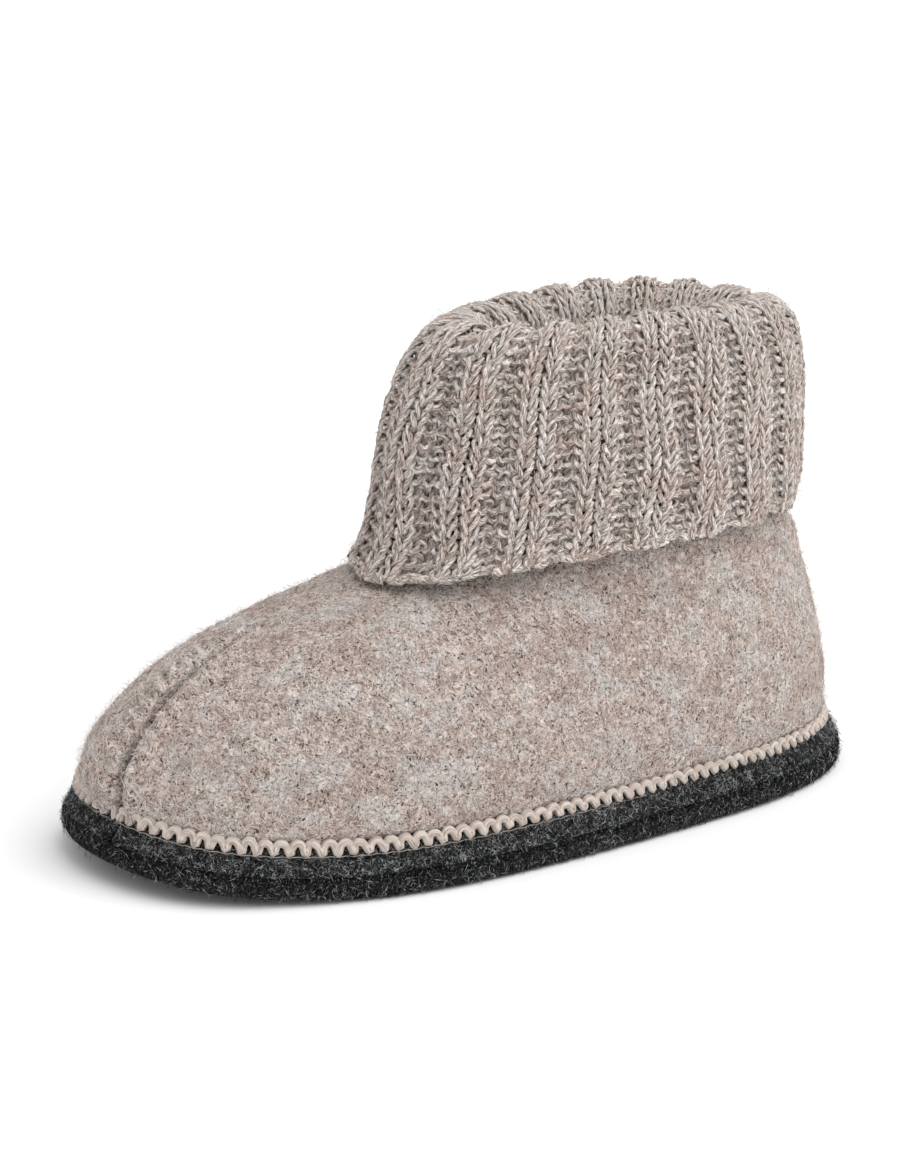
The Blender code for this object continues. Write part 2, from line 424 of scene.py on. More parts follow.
def tubes(name, paths, facing, radius, sides, closed, lift=None):
    """Round yarns along paths (yarn, point, xyz); facing turns each section the same way.

    The map "yarn" holds millimetres along the yarn and the share of the way round it. Where the lift of
    each path point out of the cloth is given, the value "lift" holds that of each vertex in millimetres.
    """
    count, length = paths.shape[:2]
    if closed:
        ahead = np.roll(paths, -1, axis=1) - np.roll(paths, 1, axis=1)
    else:
        ahead = np.gradient(paths, axis=1)
    ahead = unit(ahead)
    across = unit(np.cross(ahead, facing))
    out = np.cross(across, ahead)
    angle = np.arange(sides) * 2 * np.pi / sides
    ring = -np.cos(angle)[:, None] * out[:, :, None] + np.sin(angle)[:, None] * across[:, :, None]
    thick = np.broadcast_to(radius, (count, length))[:, :, None, None]
    places = paths[:, :, None] + thick * ring

    spans = length if closed else length - 1
    yarn, point, side = np.meshgrid(np.arange(count), np.arange(spans), np.arange(sides), indexing="ij")
    following = np.roll(paths, -1, axis=1) if closed else paths[:, 1:]
    stretch = np.linalg.norm(following - paths[:, :spans], axis=2)
    run = np.concatenate([np.zeros((count, 1)), np.cumsum(stretch, axis=1)], axis=1) / MM
    run = run + YARN_START * np.arange(count)[:, None]
    columns = max(1, int(math.sqrt(count * sides * CELL_SHAPE / spans)))
    lines = math.ceil(count / columns)
    faces = []
    along = []
    sheet = []
    for step, turn in ((0, 0), (1, 0), (1, 1), (0, 1)):
        faces.append((yarn * length + (point + step) % length) * sides + (side + turn) % sides)
        along.append(np.stack([run[yarn, point + step], (side + turn) / sides], -1))
        left = (yarn % columns + CELL_LENGTH * (point + step) / spans) / columns
        low = (yarn // columns + CELL_HEIGHT * (side + turn) / sides) / lines
        sheet.append(np.stack([left, low], -1))
    faces = np.stack(faces, -1).reshape(-1, 4)
    along = np.stack(along, -2).reshape(-1, 2)
    sheet = np.stack(sheet, -2).reshape(-1, 2)

    if not closed:
        half = np.arange(sides // 2 - 1)
        cap = np.stack([half, half + 1, sides - 2 - half, sides - 1 - half], -1)
        first = (np.arange(count)[:, None, None] * length * sides + cap[None]).reshape(-1, 4)
        last = first[:, ::-1] + (length - 1) * sides
        faces = np.concatenate([faces, first, last])
        spare = np.zeros((len(first) * 8, 2))
        along = np.concatenate([along, spare])
        sheet = np.concatenate([sheet, spare + CAP_CORNER])
    piece = mesh_from_arrays(name, places.reshape(-1, 3), faces)
    add_map(piece, "OFBake", sheet)
    add_map(piece, "yarn", along)
    if lift is not None:
        put_values(piece, "lift", (lift[:, :, None] - thick[..., 0] * np.cos(angle)) / MM)
    return piece


print("yarns can be made")

# %% Hairs
# Corners of a hair's triangles: root 0, the three points of its middle, tip 4
HAIR_FACES = np.array([(0, 2, 1), (4, 1, 2), (0, 3, 2), (4, 2, 3), (0, 1, 3), (4, 3, 1)])
HAIR_CORNERS = 5
# A triangle within its cell of the flat map
HAIR_CELL = np.array([(0.15, 0.15), (0.85, 0.15), (0.5, 0.85)])


def fibres(name, paths, thickness, tones):
    """Fine hairs along paths of three points, pointed at both ends and three-sided in the middle.

    Each hair has one tone from 0, dark, to 1, pale, in the value "tone".
    """
    count = len(paths)
    root, middle, tip = (paths[:, k, None] for k in range(3))
    ahead = unit(tip - root)
    helper = np.where(np.abs(ahead[..., 2:]) < 0.9, [[[0.0, 0.0, 1.0]]], [[[1.0, 0.0, 0.0]]])
    across = unit(np.cross(ahead, helper))
    out = np.cross(ahead, across)
    angle = np.arange(3)[:, None] * 2 * np.pi / 3
    belt = middle + 0.5 * thickness[:, None, None] * (np.cos(angle) * across + np.sin(angle) * out)
    places = np.concatenate([root, belt, tip], axis=1)
    faces = (np.arange(count) * HAIR_CORNERS)[:, None, None] + HAIR_FACES
    piece = mesh_from_arrays(name, places.reshape(-1, 3), faces.reshape(-1, 3))
    put_values(piece, "tone", np.repeat(tones, HAIR_CORNERS))
    cells = math.ceil(math.sqrt(count))
    corner = np.stack([np.arange(count) % cells, np.arange(count) // cells], -1)[:, None] / cells
    spots = corner + np.tile(HAIR_CELL / cells, (len(HAIR_FACES), 1))
    add_map(piece, "OFBake", spots.reshape(-1, 2))
    return piece


print("hairs can be made")

# %% [markdown]
# ## Lines round the sole
# The cord, the stitches and the overcast edge all run round the slipper. Their line is measured from the
# CAD band, whose ring of points 5.3 mm above the sole's underside follows the rim of the sole. A smooth
# curve through that ring gives the place and the outward direction at any share of the way round,
# starting at the heel.

# %% Rim of the sole
SOLE_LENGTH = 175.0 * MM
TOE_SPRING = 4.8 * MM
TOE_SPRING_START = 0.70
HEEL_LIFT = 0.7 * MM
HEEL_LIFT_END = 0.09
BAND_RING_HEIGHT = 5.3 * MM


def sole_lift(y):
    """How far the sole stands off the floor at a place along its length."""
    share = 0.5 - y / SOLE_LENGTH
    toe = np.clip((share - TOE_SPRING_START) / (1 - TOE_SPRING_START), 0, 1)
    heel = np.clip((HEEL_LIFT_END - share) / HEEL_LIFT_END, 0, 1)
    return TOE_SPRING * toe**2 + HEEL_LIFT * heel**2


def ring_at(node, height):
    """The CAD points at one height above the sole's underside, in order round the foot from the heel."""
    places = mesh_points(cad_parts[node])[0]
    above = places[:, 2] - sole_lift(places[:, 1])
    ring = np.unique(np.round(places[np.abs(above - height) < 0.05 * MM], 6), axis=0)
    centre = ring.mean(axis=0)
    return ring[np.argsort(np.arctan2(ring[:, 0] - centre[0], centre[1] - ring[:, 1]))]


def smooth_between(share, a, b, c, d):
    """Points on a smooth curve, a share of the way from b to c; a and d lie before and after them."""
    f = share[:, None]
    return b + 0.5 * f * (c - a + f * (2 * a - 5 * b + 4 * c - d + f * (3 * (b - c) + d - a)))


def run_along(points):
    """The way along a line of points, from 0 at its start."""
    return np.concatenate([[0], np.cumsum(np.linalg.norm(np.diff(points, axis=0), axis=1))])


def smooth_loop(points, count):
    """A closed smooth curve through the points, at even steps, and its length."""
    t = np.arange(len(points) * LOOP_PARTS) / LOOP_PARTS
    i = t.astype(int)
    dense = smooth_between(t - i, *(points[(i + k) % len(points)] for k in (-1, 0, 1, 2)))
    dense = np.vstack([dense, dense[:1]])
    run = run_along(dense)
    even = np.linspace(0, run[-1], count, endpoint=False)
    return np.stack([np.interp(even, run, dense[:, k]) for k in range(3)], axis=1), run[-1]


RIM_STEPS = 2048
LOOP_PARTS = 16
# Points beyond this place along the foot belong to the end of the toe
TOE_END = -70.0 * MM
rim, RIM_LENGTH = smooth_loop(ring_at("side_band", BAND_RING_HEIGHT), RIM_STEPS)
rim_ahead = np.roll(rim, -1, axis=0) - np.roll(rim, 1, axis=0)
rim_out = unit(np.stack([rim_ahead[:, 1], -rim_ahead[:, 0], np.zeros(RIM_STEPS)], axis=1))
SEAM_AT_RIM = 2.4 * MM
SEAM_SHARE = np.argmin(np.abs(rim[:, 0] - SEAM_AT_RIM) + 10 * (rim[:, 1] > TOE_END)) / RIM_STEPS
print(f"rim {RIM_LENGTH / MM:.1f} mm long, toe seam at {SEAM_SHARE:.3f} of the way round")

# %% Points beside the rim
def on_rim(values, share):
    """Values given at every step of the rim, read at shares of the way round."""
    at = np.mod(share, 1.0) * RIM_STEPS
    steps = np.arange(RIM_STEPS)
    return np.stack([np.interp(at, steps, values[:, k], period=RIM_STEPS) for k in range(3)], axis=-1)


def round_rim(share, outward, height):
    """Points beside the rim and the way out there, for a distance outward and a height above the sole."""
    places = on_rim(rim, share)
    out = unit(on_rim(rim_out, share))
    lifted = sole_lift(places[..., 1])
    places = places + out * outward[..., None]
    places[..., 2] = height + lifted
    return places, out


print("heel of the rim at", np.round(round_rim(np.zeros(1), np.zeros(1), 0.0)[0][0] / MM, 1), "mm")

# %% [markdown]
# ## Charcoal felt
# The sole and its band are dense, nearly black felt in which pale grey fibres lie curled in all
# directions. Fibres keep their thickness as they curl. The line along which a smooth noise crosses its
# middle value does the same, so such lines paint the fibres and raise them too. Real hairs are added
# later for the outline.

# %% Charcoal felt material
def charcoal_felt(name, pale_share):
    """Felt whose pale fibres show as strongly as the share says."""
    material, tree, shader = new_material(name, 0.95, 0.03, tone(150, 152, 154), 0.06)
    place = object_place(tree)
    clumps = noise(tree, place, 420.0, 3.0, 0.8)
    long_curls = curls(tree, place, 980.0, 0.055)
    short_curls = curls(tree, place, 1650.0, 0.07)
    specks = noise(tree, place, 2600.0, 2.0, 1.6)
    ground = ramp(tree, clumps, [(0.36, tone(5, 5, 6)), (0.64, tone(27, 28, 29))])
    # Painted shade: the specks darken small pits of the felt nearly to black
    pitted = mix(tree, level(tree, specks, 0.50, 0.36), ground, tone(3, 3, 4))
    grey = cover(tree, pitted, short_curls, 0.5 * pale_share, tone(104, 106, 107))
    patchy = times(tree, long_curls, level(tree, clumps, 0.36, 0.54))
    colour = cover(tree, grey, patchy, pale_share, tone(190, 192, 192))
    height = maths(tree, "ADD", maths(tree, "ADD", long_curls, short_curls), specks)
    wear(tree, shader, colour, bump(tree, height, 0.25 * MM))
    return material


CHARCOAL = charcoal_felt("charcoal_felt", 0.9)
SOLE_FELT = charcoal_felt("sole_felt", 0.45)
print("charcoal felt ready")

# %% [markdown]
# ## Outsole
# A flat sheet of felt, 4 mm thick. On the underside a line of stitching runs 7 mm inside the rim and draws
# the felt in to a groove. The underside of the CAD copy is taken away and made again from its rim: insets
# give the soft margin and the two lips of the groove, and Grid Fill closes the middle with square faces.

# %% Outsole felt with its stitched groove
# Insets from the rim inward: soft margin, first lip, two edges of the groove's floor, second lip
GROOVE_INSETS = np.array([3.2, 3.2, 0.6, 0.6, 0.6]) * MM
# Height above the underside at the rim and after each inset
GROOVE_HEIGHTS = np.array([0.45, 0.36, 0.36, 1.15, 1.15, 0.0]) * MM
GRID_SPAN = 9

outsole = copy_of_node("outsole", "outsole_felt")
sole_points = mesh_points(outsole)[0]
select_faces(outsole, np.abs(sole_points[:, 2] - sole_lift(sole_points[:, 1])) < 0.06 * MM)
bpy.ops.mesh.delete(type="FACE")
bpy.ops.mesh.select_mode(type="EDGE")
bpy.ops.mesh.select_non_manifold()
bpy.ops.mesh.edge_face_add()
bpy.ops.mesh.select_mode(type="FACE")
for inset in GROOVE_INSETS:
    bpy.ops.mesh.inset(thickness=inset, depth=0.0, use_boundary=True)
bpy.ops.mesh.delete(type="ONLY_FACE")
bpy.ops.mesh.select_mode(type="EDGE")
bpy.ops.mesh.select_non_manifold()
bpy.ops.mesh.fill_grid(span=GRID_SPAN)
bpy.ops.mesh.select_all(action="SELECT")
bpy.ops.mesh.normals_make_consistent(inside=False)
bpy.ops.object.mode_set(mode="OBJECT")
subdivide_smooth(outsole, 2)
print("outsole sheet with", len(outsole.data.polygons), "faces")

# %% Heights of the underside
sole_points, sole_normals = mesh_points(outsole)
rim_flat = rim[::4, :2]
from_rim = np.sqrt(((sole_points[:, None, :2] - rim_flat[None]) ** 2).sum(-1)).min(axis=1)
lifted = sole_lift(sole_points[:, 1])
felt_under = (sole_points[:, 2] < lifted + 1.0 * MM) & (sole_normals[:, 2] < -0.5)
profile = np.interp(from_rim, np.concatenate([[0], np.cumsum(GROOVE_INSETS)]), GROOVE_HEIGHTS)
sole_points[:, 2] = np.where(felt_under, lifted + profile, sole_points[:, 2])
put_points(outsole, sole_points)
dress(outsole, SOLE_FELT, "charcoal_felt", "outsole")

# %% [markdown]
# ## Side band
# The band is a strip of the same felt that stands on the outsole and leans in to the upper. It is closed at
# the toe, where a short seam leaves a vertical groove, and its felt is a little uneven to the hand.

# %% Side band felt with its toe seam
BAND_SEAM_WIDTH = 0.65 * MM
BAND_SEAM_DEPTH = 1.9 * MM
BAND_SEAM_REACH = 5.0 * MM
BAND_LUMP = 3.0 * MM
BAND_UNEVEN = 0.55 * MM


def divide_near(piece, chosen, cuts):
    """Divides the faces whose corners are all chosen."""
    select_faces(piece, chosen)
    bpy.ops.mesh.subdivide(number_cuts=cuts, smoothness=0.0)
    bpy.ops.object.mode_set(mode="OBJECT")
    bpy.ops.object.shade_smooth()


side_band = copy_of_node("side_band", "side_band_felt")
subdivide_smooth(side_band, 2)
band_points = mesh_points(side_band)[0]
seam_near = np.abs(band_points[:, 0] - SEAM_AT_RIM) < BAND_SEAM_REACH
divide_near(side_band, seam_near & (band_points[:, 1] < TOE_END), 3)
band_points, band_normals = mesh_points(side_band)
pinch = np.exp(-(((band_points[:, 0] - SEAM_AT_RIM) / BAND_SEAM_WIDTH) ** 2))
pinch *= (band_points[:, 1] < TOE_END) & (band_normals[:, 1] < -0.2)
put_points(side_band, band_points - band_normals * (BAND_SEAM_DEPTH * pinch)[:, None])
roughen(side_band, BAND_LUMP, BAND_UNEVEN)
dress(side_band, CHARCOAL, "charcoal_felt", "side_band")

# %% [markdown]
# ## Overcast edge
# The outsole's cut edge is overcast: a dark thread goes round it again and again, close together, from the
# stitched groove underneath to the seam with the band. Each turn is one bent thread with few faces, and
# about five hundred of them are laid side by side round the rim.

# %% Overcast threads
OVERCAST_PITCH = 0.95 * MM
OVERCAST_RADIUS = 0.27 * MM
# Outward from the rim line, along one thread, and height above the underside
OVERCAST_OUTWARD = np.array([-6.9, -6.3, -3.4, -0.6, 0.22, 0.26, 0.0, -0.7]) * MM
OVERCAST_HEIGHTS = np.array([1.1, 0.34, 0.28, 0.34, 1.15, 2.8, 3.7, 4.2]) * MM
OVERCAST_LEAN = 0.6 * MM
# How unevenly the threads are spaced, lean, lie and swell
OVERCAST_STRAY = 0.30
LEAN_MEAN = 0.6
LEAN_SPREAD = 0.8
OUTWARD_STRAY = (-0.16 * MM, 0.12 * MM)
HEIGHT_STRAY = (0.0, 0.12 * MM)
SWELL_RANGE = (0.7, 1.25)

rng = np.random.default_rng(11)
turns = int(RIM_LENGTH / OVERCAST_PITCH)
thread_share = (np.arange(turns) + rng.uniform(-OVERCAST_STRAY, OVERCAST_STRAY, turns)) / turns
lean = np.linspace(-1, 1, len(OVERCAST_OUTWARD)) * OVERCAST_LEAN
lean = lean * rng.normal(LEAN_MEAN, LEAN_SPREAD, (turns, 1))
shares = thread_share[:, None] + lean / RIM_LENGTH
outward = OVERCAST_OUTWARD + rng.uniform(*OUTWARD_STRAY, shares.shape)
heights = OVERCAST_HEIGHTS + rng.uniform(*HEIGHT_STRAY, shares.shape)
thread_paths, thread_out = round_rim(shares, outward, heights)
thread_facing = unit(thread_out + np.array([0.0, 0.0, -0.6]))
thread_radius = OVERCAST_RADIUS * rng.uniform(*SWELL_RANGE, shares.shape)
overcast = tubes("edge_overcast", thread_paths, thread_facing, thread_radius, 4, closed=False)


def yarn_place(tree):
    """Millimetres along a yarn and the share of the way round it."""
    return add_node(tree, "ShaderNodeUVMap", uv_map="yarn").outputs[0]


def dark_thread():
    """Nearly black thread with a few grey streaks along it."""
    material, tree, shader = new_material("dark_thread", 0.9, 0.05, tone(150, 150, 152), 0.06)
    streaks = noise(tree, yarn_place(tree), 3.0, 2.0, 0.5)
    cloudy = noise(tree, object_place(tree), 700.0, 2.0)
    shade = ramp(tree, cloudy, [(0.35, tone(4, 4, 5)), (0.68, tone(24, 25, 26))])
    colour = mix(tree, level(tree, streaks, 0.58, 0.68), shade, tone(112, 114, 115))
    wear(tree, shader, colour, bump(tree, streaks, 0.1 * MM))
    return material


DARK_THREAD = dark_thread()
dress(overcast, DARK_THREAD, "charcoal_felt")

# %% [markdown]
# ## Felt in the joint
# Where band and outsole are sewn together their felt swells into the joint and nearly closes it. A soft
# roll with an uneven thickness fills it round the whole slipper. It wears the nearly black finish of the
# dark thread, as painted shade in the joint.

# %% Roll of felt in the joint
ROLL_POINTS = 420
ROLL_RADIUS = 0.6 * MM
ROLL_OUTWARD = -0.7 * MM
ROLL_HEIGHT = 4.25 * MM
# Spread of its place outward, of its height and of its thickness
ROLL_OUTWARD_SPREAD = 0.14 * MM
ROLL_HEIGHT_SPREAD = 0.15 * MM
ROLL_SWELL = 0.15

rng = np.random.default_rng(13)
roll_share = np.arange(ROLL_POINTS) / ROLL_POINTS
roll_outward = ROLL_OUTWARD + ROLL_OUTWARD_SPREAD * rng.standard_normal(ROLL_POINTS)
roll_height = ROLL_HEIGHT + ROLL_HEIGHT_SPREAD * rng.standard_normal(ROLL_POINTS)
roll_path, roll_out = round_rim(roll_share, roll_outward, roll_height)
roll_swell = ROLL_RADIUS * (1 + ROLL_SWELL * rng.standard_normal((1, ROLL_POINTS)))
joint_roll = tubes("joint_felt", roll_path[None], roll_out[None], roll_swell, 6, closed=True)
# The dark thread's finish here is painted shade in the joint
dress(joint_roll, DARK_THREAD, "charcoal_felt")

# %% [markdown]
# ## Stitches between band and outsole
# The band is sewn to the outsole by hand with long running stitches that pull the joint into a dark, uneven
# groove. Each stitch is one smooth thread that dives into the felt at both ends.

# %% Band stitches
STITCH_PITCH = 4.7 * MM
STITCH_LENGTH = 4.3 * MM
STITCH_RADIUS = 0.27 * MM
STITCH_HEIGHT = 4.3 * MM
STITCH_POINTS = 8
# How far a stitch stands out in its middle, and how steeply its ends dive
STITCH_STAND = 0.30 * MM
STITCH_DIVE = 9.0 * MM
# How unevenly the stitches are spaced, how long they are, and how they slant and sag
STITCH_STRAY = 0.12
STITCH_LENGTHS = (0.8, 1.1)
SLANT_MEAN = 0.3 * MM
SLANT_SPREAD = 0.5 * MM
SAG_RANGE = (-0.35 * MM, 0.1 * MM)

rng = np.random.default_rng(12)
stitch_count = int(RIM_LENGTH / STITCH_PITCH)
each = (stitch_count, 1)
middle = (np.arange(stitch_count) + rng.uniform(-STITCH_STRAY, STITCH_STRAY, stitch_count)) / stitch_count
reach_along = np.linspace(-0.5, 0.5, STITCH_POINTS)
shares = middle[:, None] + reach_along * STITCH_LENGTH * rng.uniform(*STITCH_LENGTHS, each) / RIM_LENGTH
slant = rng.normal(SLANT_MEAN, SLANT_SPREAD, each)
sag = rng.uniform(*SAG_RANGE, each)
heights = STITCH_HEIGHT + reach_along * slant + sag * np.cos(np.pi * reach_along)
stitch_paths, stitch_out = round_rim(shares, STITCH_STAND - STITCH_DIVE * np.abs(reach_along) ** 3, heights)
stitches = tubes("band_stitches", stitch_paths, stitch_out, STITCH_RADIUS, 4, closed=False)
dress(stitches, DARK_THREAD, "charcoal_felt")

# %% [markdown]
# ## Boiled wool
# The upper is knitted, then boiled until it felts. Up close it is a mat of curled fibres in cream, beige
# and taupe with cooler clouds between them and tiny dark pits, whose darkness is painted shade. The curls
# are lines of noise again, pale ones that lie on top and dark ones that are painted shade where one looks
# between the fibres.

# %% Boiled wool material
def wool_clouds(tree, place):
    """Two large soft patterns of the melange: cool pale clouds and warm dark patches, from 0 to 1."""
    inputs = {"Vector": place, "Rotation": (0.6, 0.0, 0.0), "Scale": (1.0, 0.8, 1.1)}
    drawn = add_node(tree, "ShaderNodeMapping", inputs).outputs[0]
    clouds = level(tree, noise(tree, drawn, 135.0, 2.0, 0.9), 0.48, 0.60)
    patches = level(tree, noise(tree, drawn, 100.0, 2.0, 0.6), 0.50, 0.36)
    return clouds, patches


def boiled_wool():
    """Felted melange; the value "seam" of the points paints shade into the groove of the toe seam."""
    material, tree, shader = new_material("boiled_wool", 0.95, 0.30, tone(235, 225, 215))
    place = object_place(tree)
    clouds, patches = wool_clouds(tree, place)
    clumps = noise(tree, place, 460.0, 3.0, 0.9)
    pits = noise(tree, place, 1050.0, 1.0, 1.4)
    dark_curls = curls(tree, place, 640.0, 0.07)
    pale_curls = curls(tree, place, 580.0, 0.075)
    fine_curls = curls(tree, place, 1050.0, 0.10)
    stops = [
        (0.30, tone(142, 115, 104)),
        (0.45, tone(187, 162, 151)),
        (0.56, tone(210, 190, 180)),
        (0.72, tone(228, 214, 205)),
    ]
    ground = cover(tree, ramp(tree, clumps, stops), clouds, 0.75, tone(217, 214, 212))
    ground = cover(tree, ground, patches, 0.55, tone(166, 134, 122))
    # Painted shade: the dark curls stand for the shade where one looks between the fibres
    shaded = cover(tree, ground, dark_curls, 0.9, tone(92, 70, 62))
    lit = cover(tree, shaded, fine_curls, 0.45, tone(226, 213, 205))
    # Painted shade in the tiny pits
    pitted = mix(tree, level(tree, pits, 0.41, 0.33), lit, tone(58, 42, 36))
    curled = cover(tree, pitted, pale_curls, 0.8, tone(242, 232, 225))
    # Painted shade in the groove of the toe seam
    colour = cover(tree, curled, point_value(tree, "seam"), 0.62, tone(70, 54, 47))
    raised = maths(tree, "ADD", pale_curls, times(tree, fine_curls, 0.6))
    height = maths(tree, "SUBTRACT", raised, times(tree, dark_curls, 0.7))
    soft = bump(tree, clumps, 0.6 * MM, 0.7)
    wear(tree, shader, colour, bump(tree, height, 0.22 * MM, 1.0, soft))
    return material


WOOL = boiled_wool()
print("boiled wool ready")

# %% [markdown]
# ## Upper
# The upper follows its CAD solid. A centre seam is sewn over the toe: the wool is pinched in along it and
# puffs up on both sides. The faces near it are divided again first, because the groove is narrower than
# they are. Soft troughs and ridges are then placed one by one where the wool gives at the ankle and under
# the cuff.

# %% Upper felt
# Seam line over the toe: place along the foot and place across it
SEAM_LINE = np.array([(-86.0, 2.6), (-76.0, 1.3), (-66.0, 0.2), (-57.0, -1.2), (-46.0, -3.0)]) * MM
SEAM_END = -46.0 * MM
SEAM_FADE = 22.0 * MM
SEAM_DEPTH = 2.6 * MM
SEAM_WIDTH = 0.7 * MM
SEAM_PUFF = 1.1 * MM
SEAM_PUFF_AT = 3.2 * MM
SEAM_PUFF_WIDTH = 2.4 * MM
SEAM_REACH = 6.0 * MM
# The seam wavers from side to side: sizes and lengths of its waves in millimetres
SEAM_WAVES = ((0.25, 2.9), (0.12, 1.3))
# Its stitches pucker the inner side more than the outer one, at a pitch that drifts, in millimetres
PUCKER_INNER = 0.85
PUCKER_OUTER = 0.3
PUCKER_PITCH = 0.45
PUCKER_DRIFT = 1.5
PUCKER_DRIFT_LENGTH = 3.1
# The inner half of the toe stands fuller than the outer half
TOE_FULL = 2.0 * MM
TOE_FULL_AT = -9.0 * MM
TOE_FULL_WIDTH = 7.0 * MM
TOE_FULL_RISE = 8.0 * MM
BAND_TOP = 11.5 * MM
COLLAR_RIM = 58.0 * MM
# Oval that the cuff covers: half width, middle along the foot and half length
CUFF_OVAL = (26.5 * MM, 25.6 * MM, 51.0 * MM)
# The line inside the foot from which the wool faces outward: its two ends along the foot and its height
FOOT_LINE = (-60.0 * MM, 55.0 * MM, 22.0 * MM)
# Creases leave the middle of the foot alone and fade towards their ends
CREASE_FREE = 6.0 * MM
CREASE_FADE = (0.15, 0.85)
# Sizes and heights of the wool's large and small lumps
WOOL_LUMPS = ((11.0 * MM, 0.45 * MM), (2.2 * MM, 0.35 * MM))
# Soft creases, in millimetres: start and end as (along, up), side (1 outer, -1 inner), depth, half width
CREASES = (
    ((-14.0, 50.0), (4.0, 33.0), 1, 0.9, 5.0),
    ((18.0, 55.0), (30.0, 38.0), 1, 0.7, 6.0),
    ((50.0, 55.0), (44.0, 36.0), 1, 0.6, 6.0),
    ((-44.0, 44.0), (-30.0, 26.0), 1, -0.6, 6.0),
    ((-12.0, 50.0), (8.0, 32.0), -1, 0.9, 5.5),
    ((26.0, 54.0), (38.0, 36.0), -1, 0.7, 6.0),
)


def outer_face(places, normals):
    """True where a point of the upper faces away from the foot."""
    toe, heel, height = FOOT_LINE
    along = np.clip(places[:, 1], toe, heel)
    axis = np.stack([0 * along, along, np.minimum(places[:, 2], height)], axis=1)
    return ((places - axis) * normals).sum(axis=1) > 0


def bare_upper(places, normals):
    """The outside of the upper that the cuff and the band leave bare."""
    half_width, middle, half_length = CUFF_OVAL
    oval = (places[:, 0] / half_width) ** 2 + ((places[:, 1] - middle) / half_length) ** 2
    covered = (oval < 1) & (places[:, 2] > COLLAR_RIM)
    return outer_face(places, normals) & ~covered & (places[:, 2] > BAND_TOP)


def seam_offset(places):
    """Distance across the foot from the toe seam."""
    return places[:, 0] - np.interp(places[:, 1], SEAM_LINE[:, 0], SEAM_LINE[:, 1])


upper = copy_of_node("upper", "upper_felt")
subdivide_smooth(upper, 2)
divide_near(upper, bare_upper(*mesh_points(upper)), 1)
upper_points, upper_normals = mesh_points(upper)
near_seam = (np.abs(seam_offset(upper_points)) < SEAM_REACH) & (upper_points[:, 1] < SEAM_END)
divide_near(upper, near_seam & outer_face(upper_points, upper_normals), 1)
print("upper with", len(upper.data.polygons), "faces")

# %% Seam and creases of the upper
upper_points, upper_normals = mesh_points(upper)
outside = outer_face(upper_points, upper_normals)
offset = seam_offset(upper_points)
along_seam = upper_points[:, 1] / MM
strength = np.clip((SEAM_END - upper_points[:, 1]) / SEAM_FADE, 0, 1) * outside
waver = sum(size * np.sin(along_seam / length) for size, length in SEAM_WAVES) * MM
pinch = np.exp(-(((offset + waver) / SEAM_WIDTH) ** 2))
stitch = along_seam / PUCKER_PITCH + PUCKER_DRIFT * np.sin(along_seam / PUCKER_DRIFT_LENGTH)
pucker = 1 + np.where(offset < 0, PUCKER_INNER, PUCKER_OUTER) * np.sin(stitch)
puff = np.exp(-(((np.abs(offset) - SEAM_PUFF_AT) / SEAM_PUFF_WIDTH) ** 2)) * pucker
full = np.exp(-(((offset - TOE_FULL_AT) / TOE_FULL_WIDTH) ** 2))
full *= np.clip((upper_points[:, 2] - BAND_TOP) / TOE_FULL_RISE, 0, 1)
push = strength * (SEAM_PUFF * puff + TOE_FULL * full - SEAM_DEPTH * pinch)
for start, end, side, depth, half_width in CREASES:
    a = np.array(start) * MM
    run = np.array(end) * MM - a
    flat = upper_points[:, 1:] - a
    share = np.clip(flat @ run / (run @ run), 0, 1)
    away = np.linalg.norm(flat - share[:, None] * run, axis=1) / (half_width * MM)
    fade = np.sin(np.pi * np.interp(share, (0, 1), CREASE_FADE))
    on_side = outside * (upper_points[:, 0] * side > CREASE_FREE)
    push -= depth * MM * fade * np.exp(-(away**2)) * on_side
put_points(upper, upper_points + upper_normals * push[:, None])
# The value "seam" marks where the wool paints shade in the seam's groove
put_values(upper, "seam", strength * pinch)
for lump, height in WOOL_LUMPS:
    roughen(upper, lump, height)
dress(upper, WOOL, "boiled_wool", "upper")

# %% [markdown]
# ## Nap
# The wool's surface is a tangle of short curled fibres, and at the edge they show as a pale halo. Each hair
# here is a pointed sliver with a few faces that starts on the surface, curls to one side and mostly lies
# down. Points are drawn at random over the faces by their area, always with the same seed.

# %% Scattering fibres
# How much of its rise a hair has left in its second half
SECOND_RISE = 0.45


def scatter(piece, count, keep, rng):
    """Random places and normals, even over the part of a piece where keep(places, normals) is true."""
    mesh = piece.data
    mesh.calc_loop_triangles()
    corners = np.empty(len(mesh.loop_triangles) * 3, dtype=np.int32)
    mesh.loop_triangles.foreach_get("vertices", corners)
    corners = corners.reshape(-1, 3)
    places, normals = mesh_points(piece)
    a, b, c = (places[corners[:, k]] for k in range(3))
    wanted = keep((a + b + c) / 3, unit(normals[corners].sum(axis=1)))
    area = np.linalg.norm(np.cross(b - a, c - a), axis=1) * wanted
    chosen = rng.choice(len(corners), size=count, p=area / area.sum())
    first, second = rng.random((2, count))
    over = first + second > 1
    first = np.where(over, 1 - first, first)
    second = np.where(over, 1 - second, second)
    spot = a[chosen] + first[:, None] * (b - a)[chosen] + second[:, None] * (c - a)[chosen]
    return spot, unit(normals[corners[chosen]].mean(axis=1))


